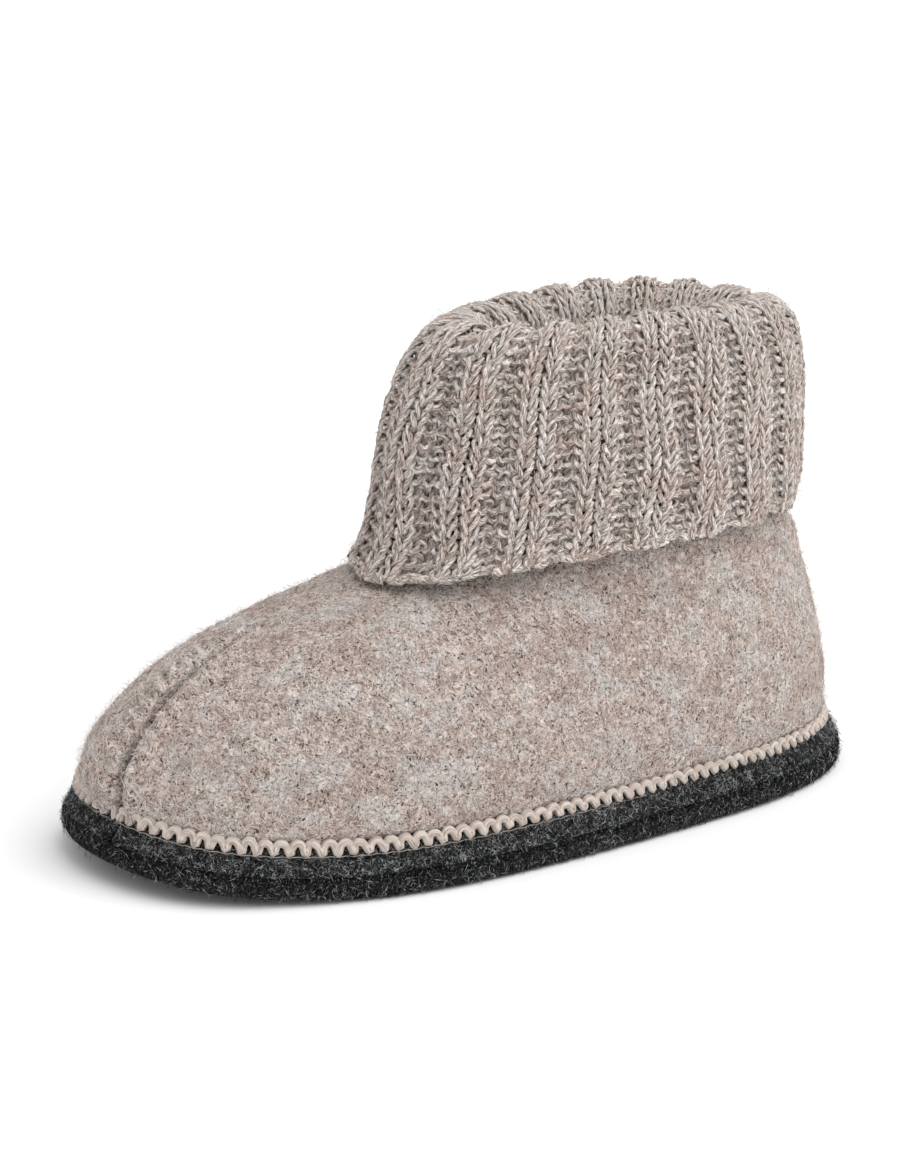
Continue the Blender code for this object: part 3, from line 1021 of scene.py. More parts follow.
def curled_paths(roots, normals, lengths, lift, curl, rng):
    """Hairs of two steps that start at roots, turn as they go and rise by lift before they lie down."""
    helper = np.where(np.abs(normals[:, 2:]) < 0.8, [[0.0, 0.0, 1.0]], [[0.0, 1.0, 0.0]])
    side = unit(np.cross(normals, helper))
    ahead = np.cross(side, normals)
    angle = rng.uniform(0, 2 * np.pi, len(roots))
    bend = rng.normal(0, curl, len(roots))
    path = [roots]
    for heading, rise in ((angle, lift), (angle + bend, SECOND_RISE * lift)):
        step = np.cos(heading)[:, None] * side + np.sin(heading)[:, None] * ahead + rise[:, None] * normals
        path.append(path[-1] + unit(step) * (lengths / 2)[:, None])
    return np.stack(path, axis=1)


print("hairs can be scattered")

# %% Hair materials
def fibre_material(name, stops, sheen_tint, clouded=False):
    """Hairs coloured by their own tone and, where they are clouded, by the melange of the wool."""
    material, tree, shader = new_material(name, 0.8, 0.3, sheen_tint)
    colour = ramp(tree, point_value(tree, "tone"), stops)
    if clouded:
        clouds, patches = wool_clouds(tree, object_place(tree))
        colour = cover(tree, colour, clouds, 0.5, tone(229, 227, 225))
        colour = cover(tree, colour, patches, 0.4, tone(180, 148, 136))
    wear(tree, shader, colour)
    return material


WOOL_STOPS = [
    (0.0, tone(100, 80, 72)),
    (0.22, tone(170, 146, 136)),
    (0.5, tone(222, 206, 197)),
    (1.0, tone(252, 246, 240)),
]
CHARCOAL_STOPS = [(0.0, tone(3, 3, 4)), (0.5, tone(46, 47, 48)), (1.0, tone(188, 190, 190))]
WOOL_HAIRS = fibre_material("wool_hairs", WOOL_STOPS, tone(240, 232, 224), clouded=True)
CHARCOAL_HAIRS = fibre_material("charcoal_hairs", CHARCOAL_STOPS, tone(170, 172, 174))
print("hair materials ready")

# %% Nap of the upper
HAIRS = 20000
STRAY_SHARE = 0.25
# Lengths of stray hairs and of those that lie down, in millimetres, and how far they rise
STRAY_LENGTHS = (1.6, 3.6)
LYING_LENGTHS = (1.4, 3.0)
STRAY_LIFT = (0.4, 1.4)
LYING_LIFT = (0.03, 0.25)
# Thickness in millimetres
STRAY_THICKNESS = 0.07
LYING_THICKNESS = (0.11, 0.21)
STRAY_PALER = 0.2
NAP_CURL = 0.8
NAP_ROOT = 0.05 * MM
# Shape of the spread of tones, with more pale hairs than dark ones
NAP_TONES = (1.2, 0.9)
# The strip along the seam where the stitches hold the fibres down: its half width and where it ends
SEAM_BARE = 2.0 * MM
SEAM_BARE_END = SEAM_END - 0.4 * SEAM_FADE


def nap_grows(places, normals):
    """Bare wool, but not in the groove of the toe seam."""
    in_seam = (np.abs(seam_offset(places)) < SEAM_BARE) & (places[:, 1] < SEAM_BARE_END)
    return bare_upper(places, normals) & ~in_seam


rng = np.random.default_rng(21)
for side, side_name in ((1, "outer"), (-1, "inner")):
    roots, normals = scatter(upper, HAIRS, lambda p, n: nap_grows(p, n) & (p[:, 0] * side > 0), rng)
    stray = rng.random(HAIRS) < STRAY_SHARE
    lengths = np.where(stray, rng.uniform(*STRAY_LENGTHS, HAIRS), rng.uniform(*LYING_LENGTHS, HAIRS)) * MM
    lift = np.where(stray, rng.uniform(*STRAY_LIFT, HAIRS), rng.uniform(*LYING_LIFT, HAIRS))
    paths = curled_paths(roots - normals * NAP_ROOT, normals, lengths, lift, NAP_CURL, rng)
    thickness = np.where(stray, STRAY_THICKNESS, rng.uniform(*LYING_THICKNESS, HAIRS)) * MM
    tones = np.clip(rng.beta(*NAP_TONES, HAIRS) + STRAY_PALER * stray, 0, 1)
    nap = fibres(f"upper_nap_{side_name}", paths, thickness, tones)
    dress(nap, WOOL_HAIRS, "boiled_wool")

# %% Nap of the charcoal felt
# Lengths and thickness in millimetres
DARK_LENGTHS = (0.9, 2.6)
DARK_THICKNESS = (0.09, 0.15)
DARK_STRAY_SHARE = 0.15
DARK_STRAY_LIFT = 0.8
DARK_LIFT = (0.05, 0.4)
DARK_CURL = 0.9
DARK_ROOT = 0.1 * MM
DARK_SEAM_BARE = 1.4 * MM
# Shape of the spread of tones: many dark hairs, some pale ones and few between
DARK_TONES = (0.5, 0.75)
# No hair comes nearer to the floor than this
LOWEST_HAIR = 0.1 * MM


def dark_nap_grows(places, normals):
    """The outer side of the sole, but not the seam of the band."""
    upright = (normals[:, 2] > -0.3) & (np.abs(normals[:, 0]) + np.abs(normals[:, 1]) > 0.5)
    in_seam = (np.abs(places[:, 0] - SEAM_AT_RIM) < DARK_SEAM_BARE) & (places[:, 1] < TOE_END)
    return upright & ~in_seam


rng = np.random.default_rng(22)
for piece, hairs, name in ((side_band, 8400, "band_nap"), (outsole, 3600, "outsole_nap")):
    roots, normals = scatter(piece, hairs, dark_nap_grows, rng)
    lengths = rng.uniform(*DARK_LENGTHS, hairs) * MM
    stray = rng.random(hairs) < DARK_STRAY_SHARE
    lift = np.where(stray, DARK_STRAY_LIFT, rng.uniform(*DARK_LIFT, hairs))
    paths = curled_paths(roots + normals * DARK_ROOT, normals, lengths, lift, DARK_CURL, rng)
    paths[..., 2] = np.maximum(paths[..., 2], LOWEST_HAIR)
    nap = fibres(name, paths, rng.uniform(*DARK_THICKNESS, hairs) * MM, rng.beta(*DARK_TONES, hairs))
    dress(nap, CHARCOAL_HAIRS, "charcoal_felt")

# %% [markdown]
# ## Rib-knit cuff: the folded sheet
# The cuff is a knitted tube, folded down outside. The CAD gives the middle of its sheet as a row of oval
# sections, from the lower edge outside, up over the fold and down inside. The same rows are repeated here,
# so that a point can be named by its turn round the leg and its run along the sheet.

# %% Sheet of the cuff
# Height, front, back, half width, drop at the front and drop at the back, in millimetres
CUFF_ROWS = np.array(
    [
        (61.4, -24.4, 76.4, 25.4, 5.8, 1.4),
        (66.5, -22.2, 76.5, 25.1, 4.4, 1.4),
        (72.5, -20.7, 76.7, 24.6, 2.8, 1.4),
        (80.0, -19.4, 76.9, 23.6, 1.4, 1.5),
        (88.2, -17.6, 76.9, 22.1, 0.6, 1.8),
        (95.6, -14.8, 76.1, 20.2, 0.3, 2.4),
        (101.2, -11.2, 74.3, 18.0, 0.2, 3.2),
        (104.6, -7.2, 71.6, 15.6, 0.2, 3.9),
        (105.6, -2.9, 68.2, 13.0, 0.2, 4.2),
        (104.2, 0.7, 64.6, 10.4, 0.2, 4.0),
        (100.4, 3.0, 61.8, 8.6, 0.1, 3.2),
        (92.0, 3.2, 60.6, 8.0, 0.0, 2.0),
        (81.5, -3.0, 64.2, 12.0, 0.0, 0.8),
        (72.3, -10.4, 68.7, 16.9, 0.0, 0.1),
        (66.4, -14.1, 70.7, 19.2, 0.0, 0.0),
    ]
) * MM
# The lower edge curls outward at the front and inward at the back: place along the foot and how much
EDGE_CURL = 1.5 * MM
EDGE_CURL_RUN = 6.0 * MM
FLARE_PLACES = (-1.0, 0.0, 0.7, 1.0)
FLARE = (1.0, 0.3, -0.5, -0.8)
STEPS_PER_ROW = 12


def smooth_rows(rows, parts):
    """Rows with smooth in-between rows."""
    t = np.arange((len(rows) - 1) * parts + 1) / parts
    i = np.minimum(t.astype(int), len(rows) - 2)
    padded_rows = np.vstack([2 * rows[0] - rows[1], rows, 2 * rows[-1] - rows[-2]])
    return smooth_between(t - i, *(padded_rows[i + k] for k in range(4)))


cuff_rows = smooth_rows(CUFF_ROWS, STEPS_PER_ROW)
cuff_run = run_along(cuff_rows[:, [0, 3]])
SHEET_RUN = cuff_run[-1]
FOLD_RUN = cuff_run[np.argmax(cuff_rows[:, 0])]
print(f"sheet {SHEET_RUN / MM:.1f} mm long, fold at {FOLD_RUN / MM:.1f} mm")

# %% Points on the sheet
def cuff_point(turn, run):
    """Middle of the knitted sheet; turn 0 is the front, and a quarter turn is the outer side."""
    height, front, back, half_width, front_drop, back_drop = (
        np.interp(run, cuff_run, cuff_rows[:, k]) for k in range(6)
    )
    along = -np.cos(turn)
    x = np.sin(turn) * half_width
    y = 0.5 * (front + back) + 0.5 * (back - front) * along
    z = height - front_drop * np.clip(-along, 0, 1) ** 2 - back_drop * np.clip(along, 0, 1) ** 2
    curl = EDGE_CURL * np.clip(1 - run / EDGE_CURL_RUN, 0, 1) ** 2 * np.interp(along, FLARE_PLACES, FLARE)
    return np.stack([x + np.sin(turn) * curl, y + along * curl, z], axis=-1)


def cuff_frame(turn, run):
    """Point of the sheet with its outward direction."""
    small_turn = 0.004
    small_run = 0.15 * MM
    ahead = cuff_point(turn + small_turn, run) - cuff_point(turn - small_turn, run)
    low = np.clip(run - small_run, 0, SHEET_RUN)
    high = np.clip(run + small_run, 0, SHEET_RUN)
    up = cuff_point(turn, high) - cuff_point(turn, low)
    return cuff_point(turn, run), unit(np.cross(ahead, up))


TURN_STEPS = 720
even_turn = np.linspace(0, 2 * np.pi, TURN_STEPS + 1)
middle_ring = cuff_point(even_turn, np.full(TURN_STEPS + 1, 0.5 * FOLD_RUN))
ring_run = run_along(middle_ring)
RING_LENGTH = ring_run[-1]
half_length = 0.5 * (cuff_rows[:, 2] - cuff_rows[:, 1])
ring_sizes = np.hypot(half_length, cuff_rows[:, 3])
ring_sizes = ring_sizes / np.interp(0.5 * FOLD_RUN, cuff_run, ring_sizes)


def turn_at(share):
    """Turn round the leg at an even share of the way round."""
    whole = np.floor(share)
    return 2 * np.pi * whole + np.interp(share - whole, ring_run / RING_LENGTH, even_turn)


print(f"ring {RING_LENGTH / MM:.1f} mm long")

# %% [markdown]
# ## Rib-knit cuff: the yarn
# In a rib of two and two, pairs of knit columns stand forward and show the legs of their loops as plump
# V shapes. The purl columns between them fall back and show the heads of their loops as wavy bars. A bump
# map cannot give that depth at the edge, so every course is one real yarn, bent through all its loops.
# A loop is drawn by sines: along the course, up and down, and in and out of the cloth.

# %% Sizes of the rib and its loops
RIBS_ROUND = 17
RIB_FACES = np.tile([1.0, 1.0, -1.0, -1.0], RIBS_ROUND)
RIB_WIDTHS = np.tile([0.31, 0.31, 0.19, 0.19], RIBS_ROUND) / RIBS_ROUND
ROW_PITCH = 2.35 * MM
LOOP_RISE = 2.35 * MM
LOOP_LEAN = 0.265
LOOP_NECK = 0.035
LOOP_DEPTH = 0.50 * MM
KNIT_RELIEF = 0.95 * MM
PURL_RELIEF = -0.60 * MM
RIB_RELIEF = np.where(RIB_FACES > 0, KNIT_RELIEF, PURL_RELIEF)
YARN_RADIUS = 0.60 * MM
# The yarn is loose and thick where it crosses between a knit and a purl column
CROSSING_SWELL = 0.55
# Share of the relief that is left out when painted shade darkens the yarn by its depth
RELIEF_EVENED = 0.62
FIRST_ROW = 2.2 * MM
# How far into a column its neighbour's side and its neighbour's relief reach
FACE_REACH = 0.25
RELIEF_REACH = 0.6
# The lower edge hangs down below the knit columns and evens out further up
SCALLOP_DEPTH = 0.42 * MM
SCALLOP_MIDDLE = 0.31
SCALLOP_RUN = 3.5 * MM
# Columns wander a little: a slow and a quick wave, as shares of the way round
SLOW_WAVE = 0.0026
QUICK_WAVE = 0.0014
# Spread of the loops: height, place up and down, place in and out, fullness at crossings, thickness
TALL_SPREAD = 0.10
SHIFT_SPREAD = 0.22 * MM
PLUMP_SPREAD = 0.14 * MM
FULL_SPREAD = 0.4
THICK_SPREAD = 0.08
# Where the leg is narrow the yarn is drawn in, but not below this share
LEAST_DRAWN_IN = 0.7
print(RIBS_ROUND, "ribs round the leg, courses", round(ROW_PITCH / MM, 2), "mm apart")

# %% Courses of loops
def blend_borders(values, share, reach):
    """Each column's value, eased into its neighbours' within reach of its borders."""
    before = np.roll(values, 1)[:, None]
    after = np.roll(values, -1)[:, None]
    here = values[:, None]
    to_before = 0.5 * np.clip(1 - share / reach, 0, 1)
    to_after = 0.5 * np.clip(1 - (1 - share) / reach, 0, 1)
    to_before = to_before**2 * (3 - 2 * to_before)
    to_after = to_after**2 * (3 - 2 * to_after)
    return here + (before - here) * to_before + (after - here) * to_after


def scallop(share, run):
    """How far the lower edge hangs down with the ribs, less and less further up."""
    wave = np.cos(2 * np.pi * (share * RIBS_ROUND - SCALLOP_MIDDLE))
    return SCALLOP_DEPTH * wave * np.exp(-run / SCALLOP_RUN)


def knit_courses(rows, steps, rng):
    """Yarn of some courses as (course, point): places, outward directions, radius and lift in the cloth."""
    each = (len(RIB_FACES), 1)
    t = 2 * np.pi * np.arange(steps) / steps
    share = np.broadcast_to(t / (2 * np.pi), (len(RIB_FACES), steps))
    starts = np.concatenate([[0], np.cumsum(RIB_WIDTHS)[:-1]])
    through = share + LOOP_LEAN * np.sin(2 * t) + LOOP_NECK * np.sin(t)
    along = starts[:, None] + RIB_WIDTHS[:, None] * through
    face = blend_borders(RIB_FACES, share, FACE_REACH)
    relief = blend_borders(RIB_RELIEF, share, RELIEF_REACH)
    depth = relief - face * LOOP_DEPTH * np.cos(2 * t)
    paths = []
    facing = []
    radius = []
    lifts = []
    for row in rows:
        drift = SLOW_WAVE * np.sin(2 * np.pi * (3 * along + 0.09 * row))
        drift = drift + QUICK_WAVE * np.sin(0.55 * row + 40 * along)
        taller = 1 + TALL_SPREAD * rng.standard_normal(each)
        shifted = SHIFT_SPREAD * rng.standard_normal(each)
        plump = PLUMP_SPREAD * rng.standard_normal(each)
        fullness = CROSSING_SWELL * (1 + FULL_SPREAD * rng.standard_normal(each))
        crossing = 1 + (fullness * (1 - np.abs(face))).ravel()
        turn = turn_at((along + drift).ravel())
        run = FIRST_ROW + row * ROW_PITCH - LOOP_RISE * taller * np.cos(t) + shifted * np.sin(t / 2)
        run = np.clip(run, 0, SHEET_RUN).ravel()
        place, out = cuff_frame(turn, run)
        place[:, 2] -= scallop((along + drift).ravel(), run)
        lift = depth + plump * np.sin(t / 2)
        paths.append(place + out * lift.ravel()[:, None])
        lifts.append((lift - RELIEF_EVENED * relief).ravel())
        facing.append(out)
        drawn_in = np.clip(np.interp(run, cuff_run, ring_sizes), LEAST_DRAWN_IN, 1.0)
        uneven = 1 + THICK_SPREAD * rng.standard_normal(len(run))
        radius.append(YARN_RADIUS * crossing * drawn_in * uneven)
    return np.array(paths), np.array(facing), np.array(radius), np.array(lifts)


fold_row = int((FOLD_RUN - FIRST_ROW) / ROW_PITCH) + 2
last_row = int((SHEET_RUN - FIRST_ROW) / ROW_PITCH)
print(fold_row + 1, "courses outside,", last_row + 1 - fold_row, "inside")

# %% [markdown]
# ## Rib-knit cuff: the yarn's finish
# The yarn is spun from pale and dark wool and twisted from two plies. Its fibres are streaks of noise that
# follow the map along the yarn; their dark streaks are partly painted shade, their palest ones partly a
# painted highlight, and the dark line between the plies is painted shade. Outside, painted shade darkens
# the yarn by the lift of each point out of the cloth, so that what lies deep is darker. At the fold and
# inside the leg the yarn has no such painted shade, and its colours are painted paler as painted light,
# because light comes back there from the other side.

# %% Yarn material
def yarn_parts(tree):
    """Millimetres along a yarn, and the share of the way round it."""
    return add_node(tree, "ShaderNodeSeparateXYZ", {0: yarn_place(tree)}).outputs[:2]


def twisted(tree, along, turn, pitch):
    """The way round a yarn, turned on by pitch for every millimetre along it."""
    return maths(tree, "ADD", turn, times(tree, along, pitch))


def streaks_along(tree, along, along_scale, turn, turn_scale):
    """A place for noise that is drawn out along a yarn."""
    parts = {0: times(tree, along, along_scale), 1: times(tree, turn, turn_scale)}
    return add_node(tree, "ShaderNodeCombineXYZ", parts).outputs[0]


def rib_yarn(name, dark, mid, pale, cool, brown, deep=None):
    """Melange wool yarn of two plies; where deep is given, it is painted shade for the yarn that lies deep in
    the cloth.
    """
    material, tree, shader = new_material(name, 0.9, 0.25, tone(240, 230, 222))
    along, turn = yarn_parts(tree)
    twist = twisted(tree, along, turn, 0.13)
    strands = noise(tree, streaks_along(tree, along, 0.40, twist, 6.0), 1.0, 2.0, 0.4)
    hairs = noise(tree, streaks_along(tree, along, 0.9, twist, 15.0), 1.0, 2.0, 0.6)
    plies = maths(tree, "SINE", times(tree, twisted(tree, along, turn, 0.07), 4 * math.pi))
    heather = noise(tree, object_place(tree), 210.0, 2.0, 0.5)
    body = ramp(tree, strands, [(0.30, dark), (0.45, mid), (0.64, pale)])
    body = mix(tree, level(tree, heather, 0.50, 0.66), body, cool)
    body = cover(tree, body, level(tree, heather, 0.47, 0.32), 0.6, brown)
    # Dark streaks: partly dark fibres, partly painted shade between fibres; pale streaks: partly pale fibres,
    # partly a painted highlight
    colour = mix(tree, level(tree, hairs, 0.49, 0.37), body, dark)
    colour = mix(tree, level(tree, hairs, 0.52, 0.64), colour, tone(248, 240, 233))
    # Painted shade in the groove between the two plies
    colour = cover(tree, colour, level(tree, plies, -0.55, -1.0), 0.65, dark)
    # Painted shade: yarn that lies deep in the cloth is darkened by its lift
    if deep is not None:
        colour = cover(tree, colour, level(tree, point_value(tree, "lift"), 0.9, -0.5), 0.88, deep)
    height = maths(tree, "ADD", strands, times(tree, hairs, 0.8))
    height = maths(tree, "ADD", height, times(tree, plies, 0.25))
    wear(tree, shader, colour, bump(tree, height, 0.45 * MM))
    return material


# Dark, middle, pale, cool and brown tones
YARN_TONES = (
    tone(122, 103, 95),
    tone(208, 192, 183),
    tone(244, 236, 229),
    tone(222, 217, 213),
    tone(196, 170, 158),
)
# Paler tones at the fold, as painted light
FOLD_PAINTED_LIGHT_TONES = (
    tone(148, 130, 121),
    tone(224, 210, 202),
    tone(249, 243, 237),
    tone(233, 229, 226),
    tone(214, 192, 181),
)
# Paler still inside the leg, as painted light
INNER_PAINTED_LIGHT_TONES = (
    tone(176, 160, 151),
    tone(238, 228, 220),
    tone(252, 248, 244),
    tone(244, 240, 237),
    tone(230, 212, 202),
)
# The deep colour is painted shade for yarn that lies deep in the cloth
RIB_YARN = rib_yarn("rib_yarn", *YARN_TONES, deep=tone(66, 53, 47))
FOLD_PAINTED_LIGHT_YARN = rib_yarn("fold_rib_yarn_painted_light", *FOLD_PAINTED_LIGHT_TONES)
INNER_PAINTED_LIGHT_YARN = rib_yarn("inner_rib_yarn_painted_light", *INNER_PAINTED_LIGHT_TONES)
EDGE_YARN = rib_yarn("edge_yarn", *YARN_TONES)
print("yarn materials ready")

# %% Knit the cuff
# Name, first course, end, points along a loop, sides of the yarn and its finish
COURSES = (
    ("cuff_knit_lower", -1, fold_row // 2, 14, 5, RIB_YARN),
    ("cuff_knit_upper", fold_row // 2, fold_row - 3, 14, 5, RIB_YARN),
    ("cuff_knit_fold", fold_row - 3, fold_row, 14, 5, FOLD_PAINTED_LIGHT_YARN),
    ("cuff_knit_inner", fold_row, last_row + 1, 8, 4, INNER_PAINTED_LIGHT_YARN),
)
rng = np.random.default_rng(31)
knit = {}
for name, first_course, end_course, steps, sides, yarn in COURSES:
    *course, lift = knit_courses(range(first_course, end_course), steps, rng)
    knit[name] = tubes(name, *course, sides, closed=True, lift=lift)
    dress(knit[name], yarn, "rib_knit")

# %% [markdown]
# ## Rib-knit cuff: what lies behind the loops
# Between the loops one looks into the back of the cloth, where the light hardly reaches. A grid is
# wrapped round the folded sheet a little behind its middle, where it follows the ribs, and is closed at
# the back and thickened by Solidify. Its colour is painted shade, like yarn in shade, and it is painted
# paler, as painted light, inside the leg and at the borders between knit and purl columns.

# %% Core of the cuff
CORE_BACK = -1.0 * MM
CORE_THICK = 0.35 * MM
CORE_COLUMNS = 8 * RIBS_ROUND
CORE_ROWS = 44
# Shares of the way through a rib, and the core's relief there in millimetres
CORE_SHARES = (0.0, 0.155, 0.465, 0.62, 0.715, 0.905)
CORE_RELIEF = np.array([1.35, 1.0, 1.0, 1.35, 0.0, 0.0])
CORE_RELIEF_USED = 0.75
# The painted light that makes the inside of the leg paler starts this far past the fold
CORE_INSIDE = 1.0 * MM
# Borders between knit and purl columns as shares of a rib, and how far they are painted paler as painted
# light
BORDERS = np.array([0.0, 0.62, 1.0])
BORDER_REACH = 0.1

bpy.ops.object.select_all(action="DESELECT")
bpy.ops.mesh.primitive_grid_add(x_subdivisions=CORE_COLUMNS, y_subdivisions=CORE_ROWS, size=1.0)
cuff_core = bpy.context.object
cuff_core.name = "cuff_core"
flat_grid = mesh_points(cuff_core)[0]
core_share = flat_grid[:, 0] + 0.5
core_run = (flat_grid[:, 1] + 0.5) * SHEET_RUN
core_place, core_out = cuff_frame(turn_at(core_share), core_run)
core_place[:, 2] -= scallop(core_share, core_run)
rib_share = core_share * RIBS_ROUND
core_relief = np.interp(rib_share, CORE_SHARES, CORE_RELIEF * MM, period=1.0)
core_depth = CORE_BACK + CORE_RELIEF_USED * core_relief
put_points(cuff_core, core_place + core_out * core_depth[:, None])
to_border = np.abs((rib_share % 1.0)[:, None] - BORDERS).min(axis=1)
at_border = np.exp(-((to_border / BORDER_REACH) ** 2))
# Painted light: the value "paler" lightens the core inside the leg and at the column borders
put_values(cuff_core, "paler", np.where(core_run > FOLD_RUN + CORE_INSIDE, 1.0, at_border))
bpy.ops.object.mode_set(mode="EDIT")
bpy.ops.mesh.select_all(action="SELECT")
bpy.ops.mesh.remove_doubles(threshold=0.01 * MM)
bpy.ops.object.mode_set(mode="OBJECT")
thicken = cuff_core.modifiers.new("thicken", "SOLIDIFY")
thicken.thickness = CORE_THICK
thicken.offset = -1.0
bpy.ops.object.modifier_apply(modifier=thicken.name)
bpy.ops.object.shade_smooth()


def yarn_shade():
    """Yarn in painted shade, with a paler kind as painted light where the value "paler" is 1."""
    material, tree, shader = new_material("yarn_in_shade", 0.95, 0.1, tone(200, 190, 180))
    strands = noise(tree, object_place(tree), 900.0, 3.0, 1.5)
    # The outer colours are painted shade; the inner, paler ones are painted light
    outer = ramp(tree, strands, [(0.35, tone(76, 63, 57)), (0.65, tone(128, 111, 102))])
    inner = ramp(tree, strands, [(0.35, tone(150, 135, 126)), (0.65, tone(205, 192, 183))])
    colour = mix(tree, point_value(tree, "paler"), outer, inner)
    wear(tree, shader, colour, bump(tree, strands, 0.5 * MM))
    return material


dress(cuff_core, yarn_shade(), "rib_knit", "cuff")

# %% [markdown]
# ## Rib-knit cuff: the cast-off edge
# The lower edge is bound off in a thin chain that swings in and out with the ribs. It looks like a rope
# of two strands that turn round each other about once for every two stitches.

# %% Cast-off edge
EDGE_TWISTS = 36
EDGE_POINTS = 864
EDGE_STRAND_RADIUS = 0.62 * MM
EDGE_ROPE_RADIUS = 0.45 * MM
EDGE_RUN = 0.6 * MM
# The rope follows part of the ribs' relief, wanders up and down, twists unevenly and is flat to the cloth
EDGE_RELIEF = 0.75
EDGE_WANDER = 0.25 * MM
EDGE_DIP = 0.3
EDGE_UNEVEN = 0.5
EDGE_FLAT = 0.55
EDGE_SWELL = 0.08

rng = np.random.default_rng(41)
edge_share = np.arange(EDGE_POINTS) / EDGE_POINTS
column_middle = np.cumsum(RIB_WIDTHS) - 0.5 * RIB_WIDTHS
edge_relief = np.interp(edge_share, column_middle, RIB_RELIEF, period=1.0) * EDGE_RELIEF
edge_place, edge_out = cuff_frame(turn_at(edge_share), np.full(EDGE_POINTS, EDGE_RUN))
edge_place[:, 2] -= scallop(edge_share, EDGE_RUN)
edge_ahead = unit(np.roll(edge_place, -1, axis=0) - np.roll(edge_place, 1, axis=0))
edge_up = np.cross(edge_out, edge_ahead)
edge_wander = EDGE_WANDER * np.sin(2 * np.pi * (7 * edge_share + 0.2)) - EDGE_DIP * edge_relief
rope = edge_place + edge_out * edge_relief[:, None] + edge_up * edge_wander[:, None]
strands = []
for half in (0.0, np.pi):
    phase = 2 * np.pi * EDGE_TWISTS * edge_share + half
    phase = phase + EDGE_UNEVEN * np.sin(2 * np.pi * 11 * edge_share)
    swing = EDGE_FLAT * np.cos(phase)[:, None] * edge_out + np.sin(phase)[:, None] * edge_up
    strands.append(rope + EDGE_ROPE_RADIUS * swing)
edge_facing = np.stack([edge_out, edge_out])
edge_swell = EDGE_STRAND_RADIUS * (1 + EDGE_SWELL * rng.standard_normal((2, EDGE_POINTS)))
cuff_edge = tubes("cuff_edge", np.array(strands), edge_facing, edge_swell, 5, closed=True)
dress(cuff_edge, EDGE_YARN, "rib_knit")

# %% [markdown]
# ## Fuzz on the yarn
# Wool yarn is never smooth: fine hairs stand off it, most of all along the outline of the cuff. They are
# made like the nap, but thinner and rooted on the yarn.

# %% Cuff fuzz
CUFF_HAIRS = {"cuff_knit_lower": 6000, "cuff_knit_upper": 5000, "cuff_knit_fold": 3000}
# Lengths and thickness in millimetres
FUZZ_LENGTHS = (1.0, 3.4)
FUZZ_THICKNESS = (0.06, 0.11)
FUZZ_LIFT = (0.05, 0.7)
FUZZ_CURL = 0.7
# Shape of the spread of tones, mostly pale
FUZZ_TONES = (2.2, 1.2)
# The line inside the leg from which the yarn faces outward: its ends along the foot, and how far below
LEG_LINE = (-5.0 * MM, 60.0 * MM, 4.0 * MM)


def yarn_front(places, normals):
    """The side of the yarn that faces out of the cuff."""
    front, back, below = LEG_LINE
    along = np.clip(places[:, 1], front, back)
    middle = np.stack([0 * along, along, places[:, 2] - below], axis=1)
    return (unit(places - middle) * normals).sum(axis=1) > 0.0


rng = np.random.default_rng(51)
for name, count in CUFF_HAIRS.items():
    roots, normals = scatter(knit[name], count, yarn_front, rng)
    lengths = rng.uniform(*FUZZ_LENGTHS, count) * MM
    lift = rng.uniform(*FUZZ_LIFT, count)
    paths = curled_paths(roots, normals, lengths, lift, FUZZ_CURL, rng)
    thickness = rng.uniform(*FUZZ_THICKNESS, count) * MM
    fuzz = fibres(name.replace("knit", "fuzz"), paths, thickness, rng.beta(*FUZZ_TONES, count))
    dress(fuzz, WOOL_HAIRS, "rib_knit")

# %% [markdown]
# ## Edging cord
# A cream cord is laid to and fro over the joint of upper and band and sewn down, so that it covers the
# raw edge. Its upper turns are round and touch each other, and between its lower turns the dark band
# shows. One long yarn swings up and down round the whole slipper, with small irregularities from the hand
# that laid it.

# %% Sizes of the cord and the joint
CORD_PERIOD = 2.87 * MM
CORD_HALF_HEIGHT = 1.3 * MM
CORD_RADIUS = 0.90 * MM
CORD_HEAD = 0.055
CORD_FLAT_TOP = 0.18
# The turns are wider apart round the toe than along the sides
CORD_TOE_SPREAD = 0.14
# The cord is laid finer and lower round the heel
CORD_HEEL_LOWER = 0.22
CORD_HEEL_FINER = 0.12
CORD_GAP = 0.75 * MM
CORD_POINTS = 16
# How far the cord's middle stands off the joint, and how much deeper its two ends are tucked in
CORD_STAND = 0.30 * MM
CORD_TUCK = 0.6 * MM
# The joint runs inside the rim, and its length is this share of the rim's
JOINT_SHARE = 0.955
# Spread of the turns: height, place sideways and thickness
TURN_TALL = 0.09
TURN_SIDEWAYS = 0.05
CORD_SWELL = 0.05
JOINT_INSET = -3.6 * MM
JOINT_HEIGHT = 10.5 * MM
# How the band falls away below the joint and the upper rises above it: outward and up
BAND_OUT, BAND_UP = 0.567, -0.825
UPPER_OUT, UPPER_UP = 0.16, 0.987
# The bend between the two is eased over this height
JOINT_BEND = 1.6 * MM
print("turns of", round(CORD_PERIOD / MM, 2), "mm round", round(RIM_LENGTH / MM, 1), "mm of rim")

# %% The joint under the cord
def over_joint(share, rise, stand_off):
    """Points on the joint of band and upper, by the way up from the joint and the way out of it."""
    above = np.clip(0.5 + rise / JOINT_BEND, 0, 1)
    above = above**2 * (3 - 2 * above)
    slope_out = np.where(rise < 0, -BAND_OUT, UPPER_OUT) * rise
    slope_up = np.where(rise < 0, -BAND_UP, UPPER_UP) * rise
    normal_out = above * UPPER_UP - (1 - above) * BAND_UP
    normal_up = (1 - above) * BAND_OUT - above * UPPER_OUT
    outward = JOINT_INSET + slope_out + stand_off * normal_out
    return round_rim(share, outward, JOINT_HEIGHT + slope_up + stand_off * normal_up)


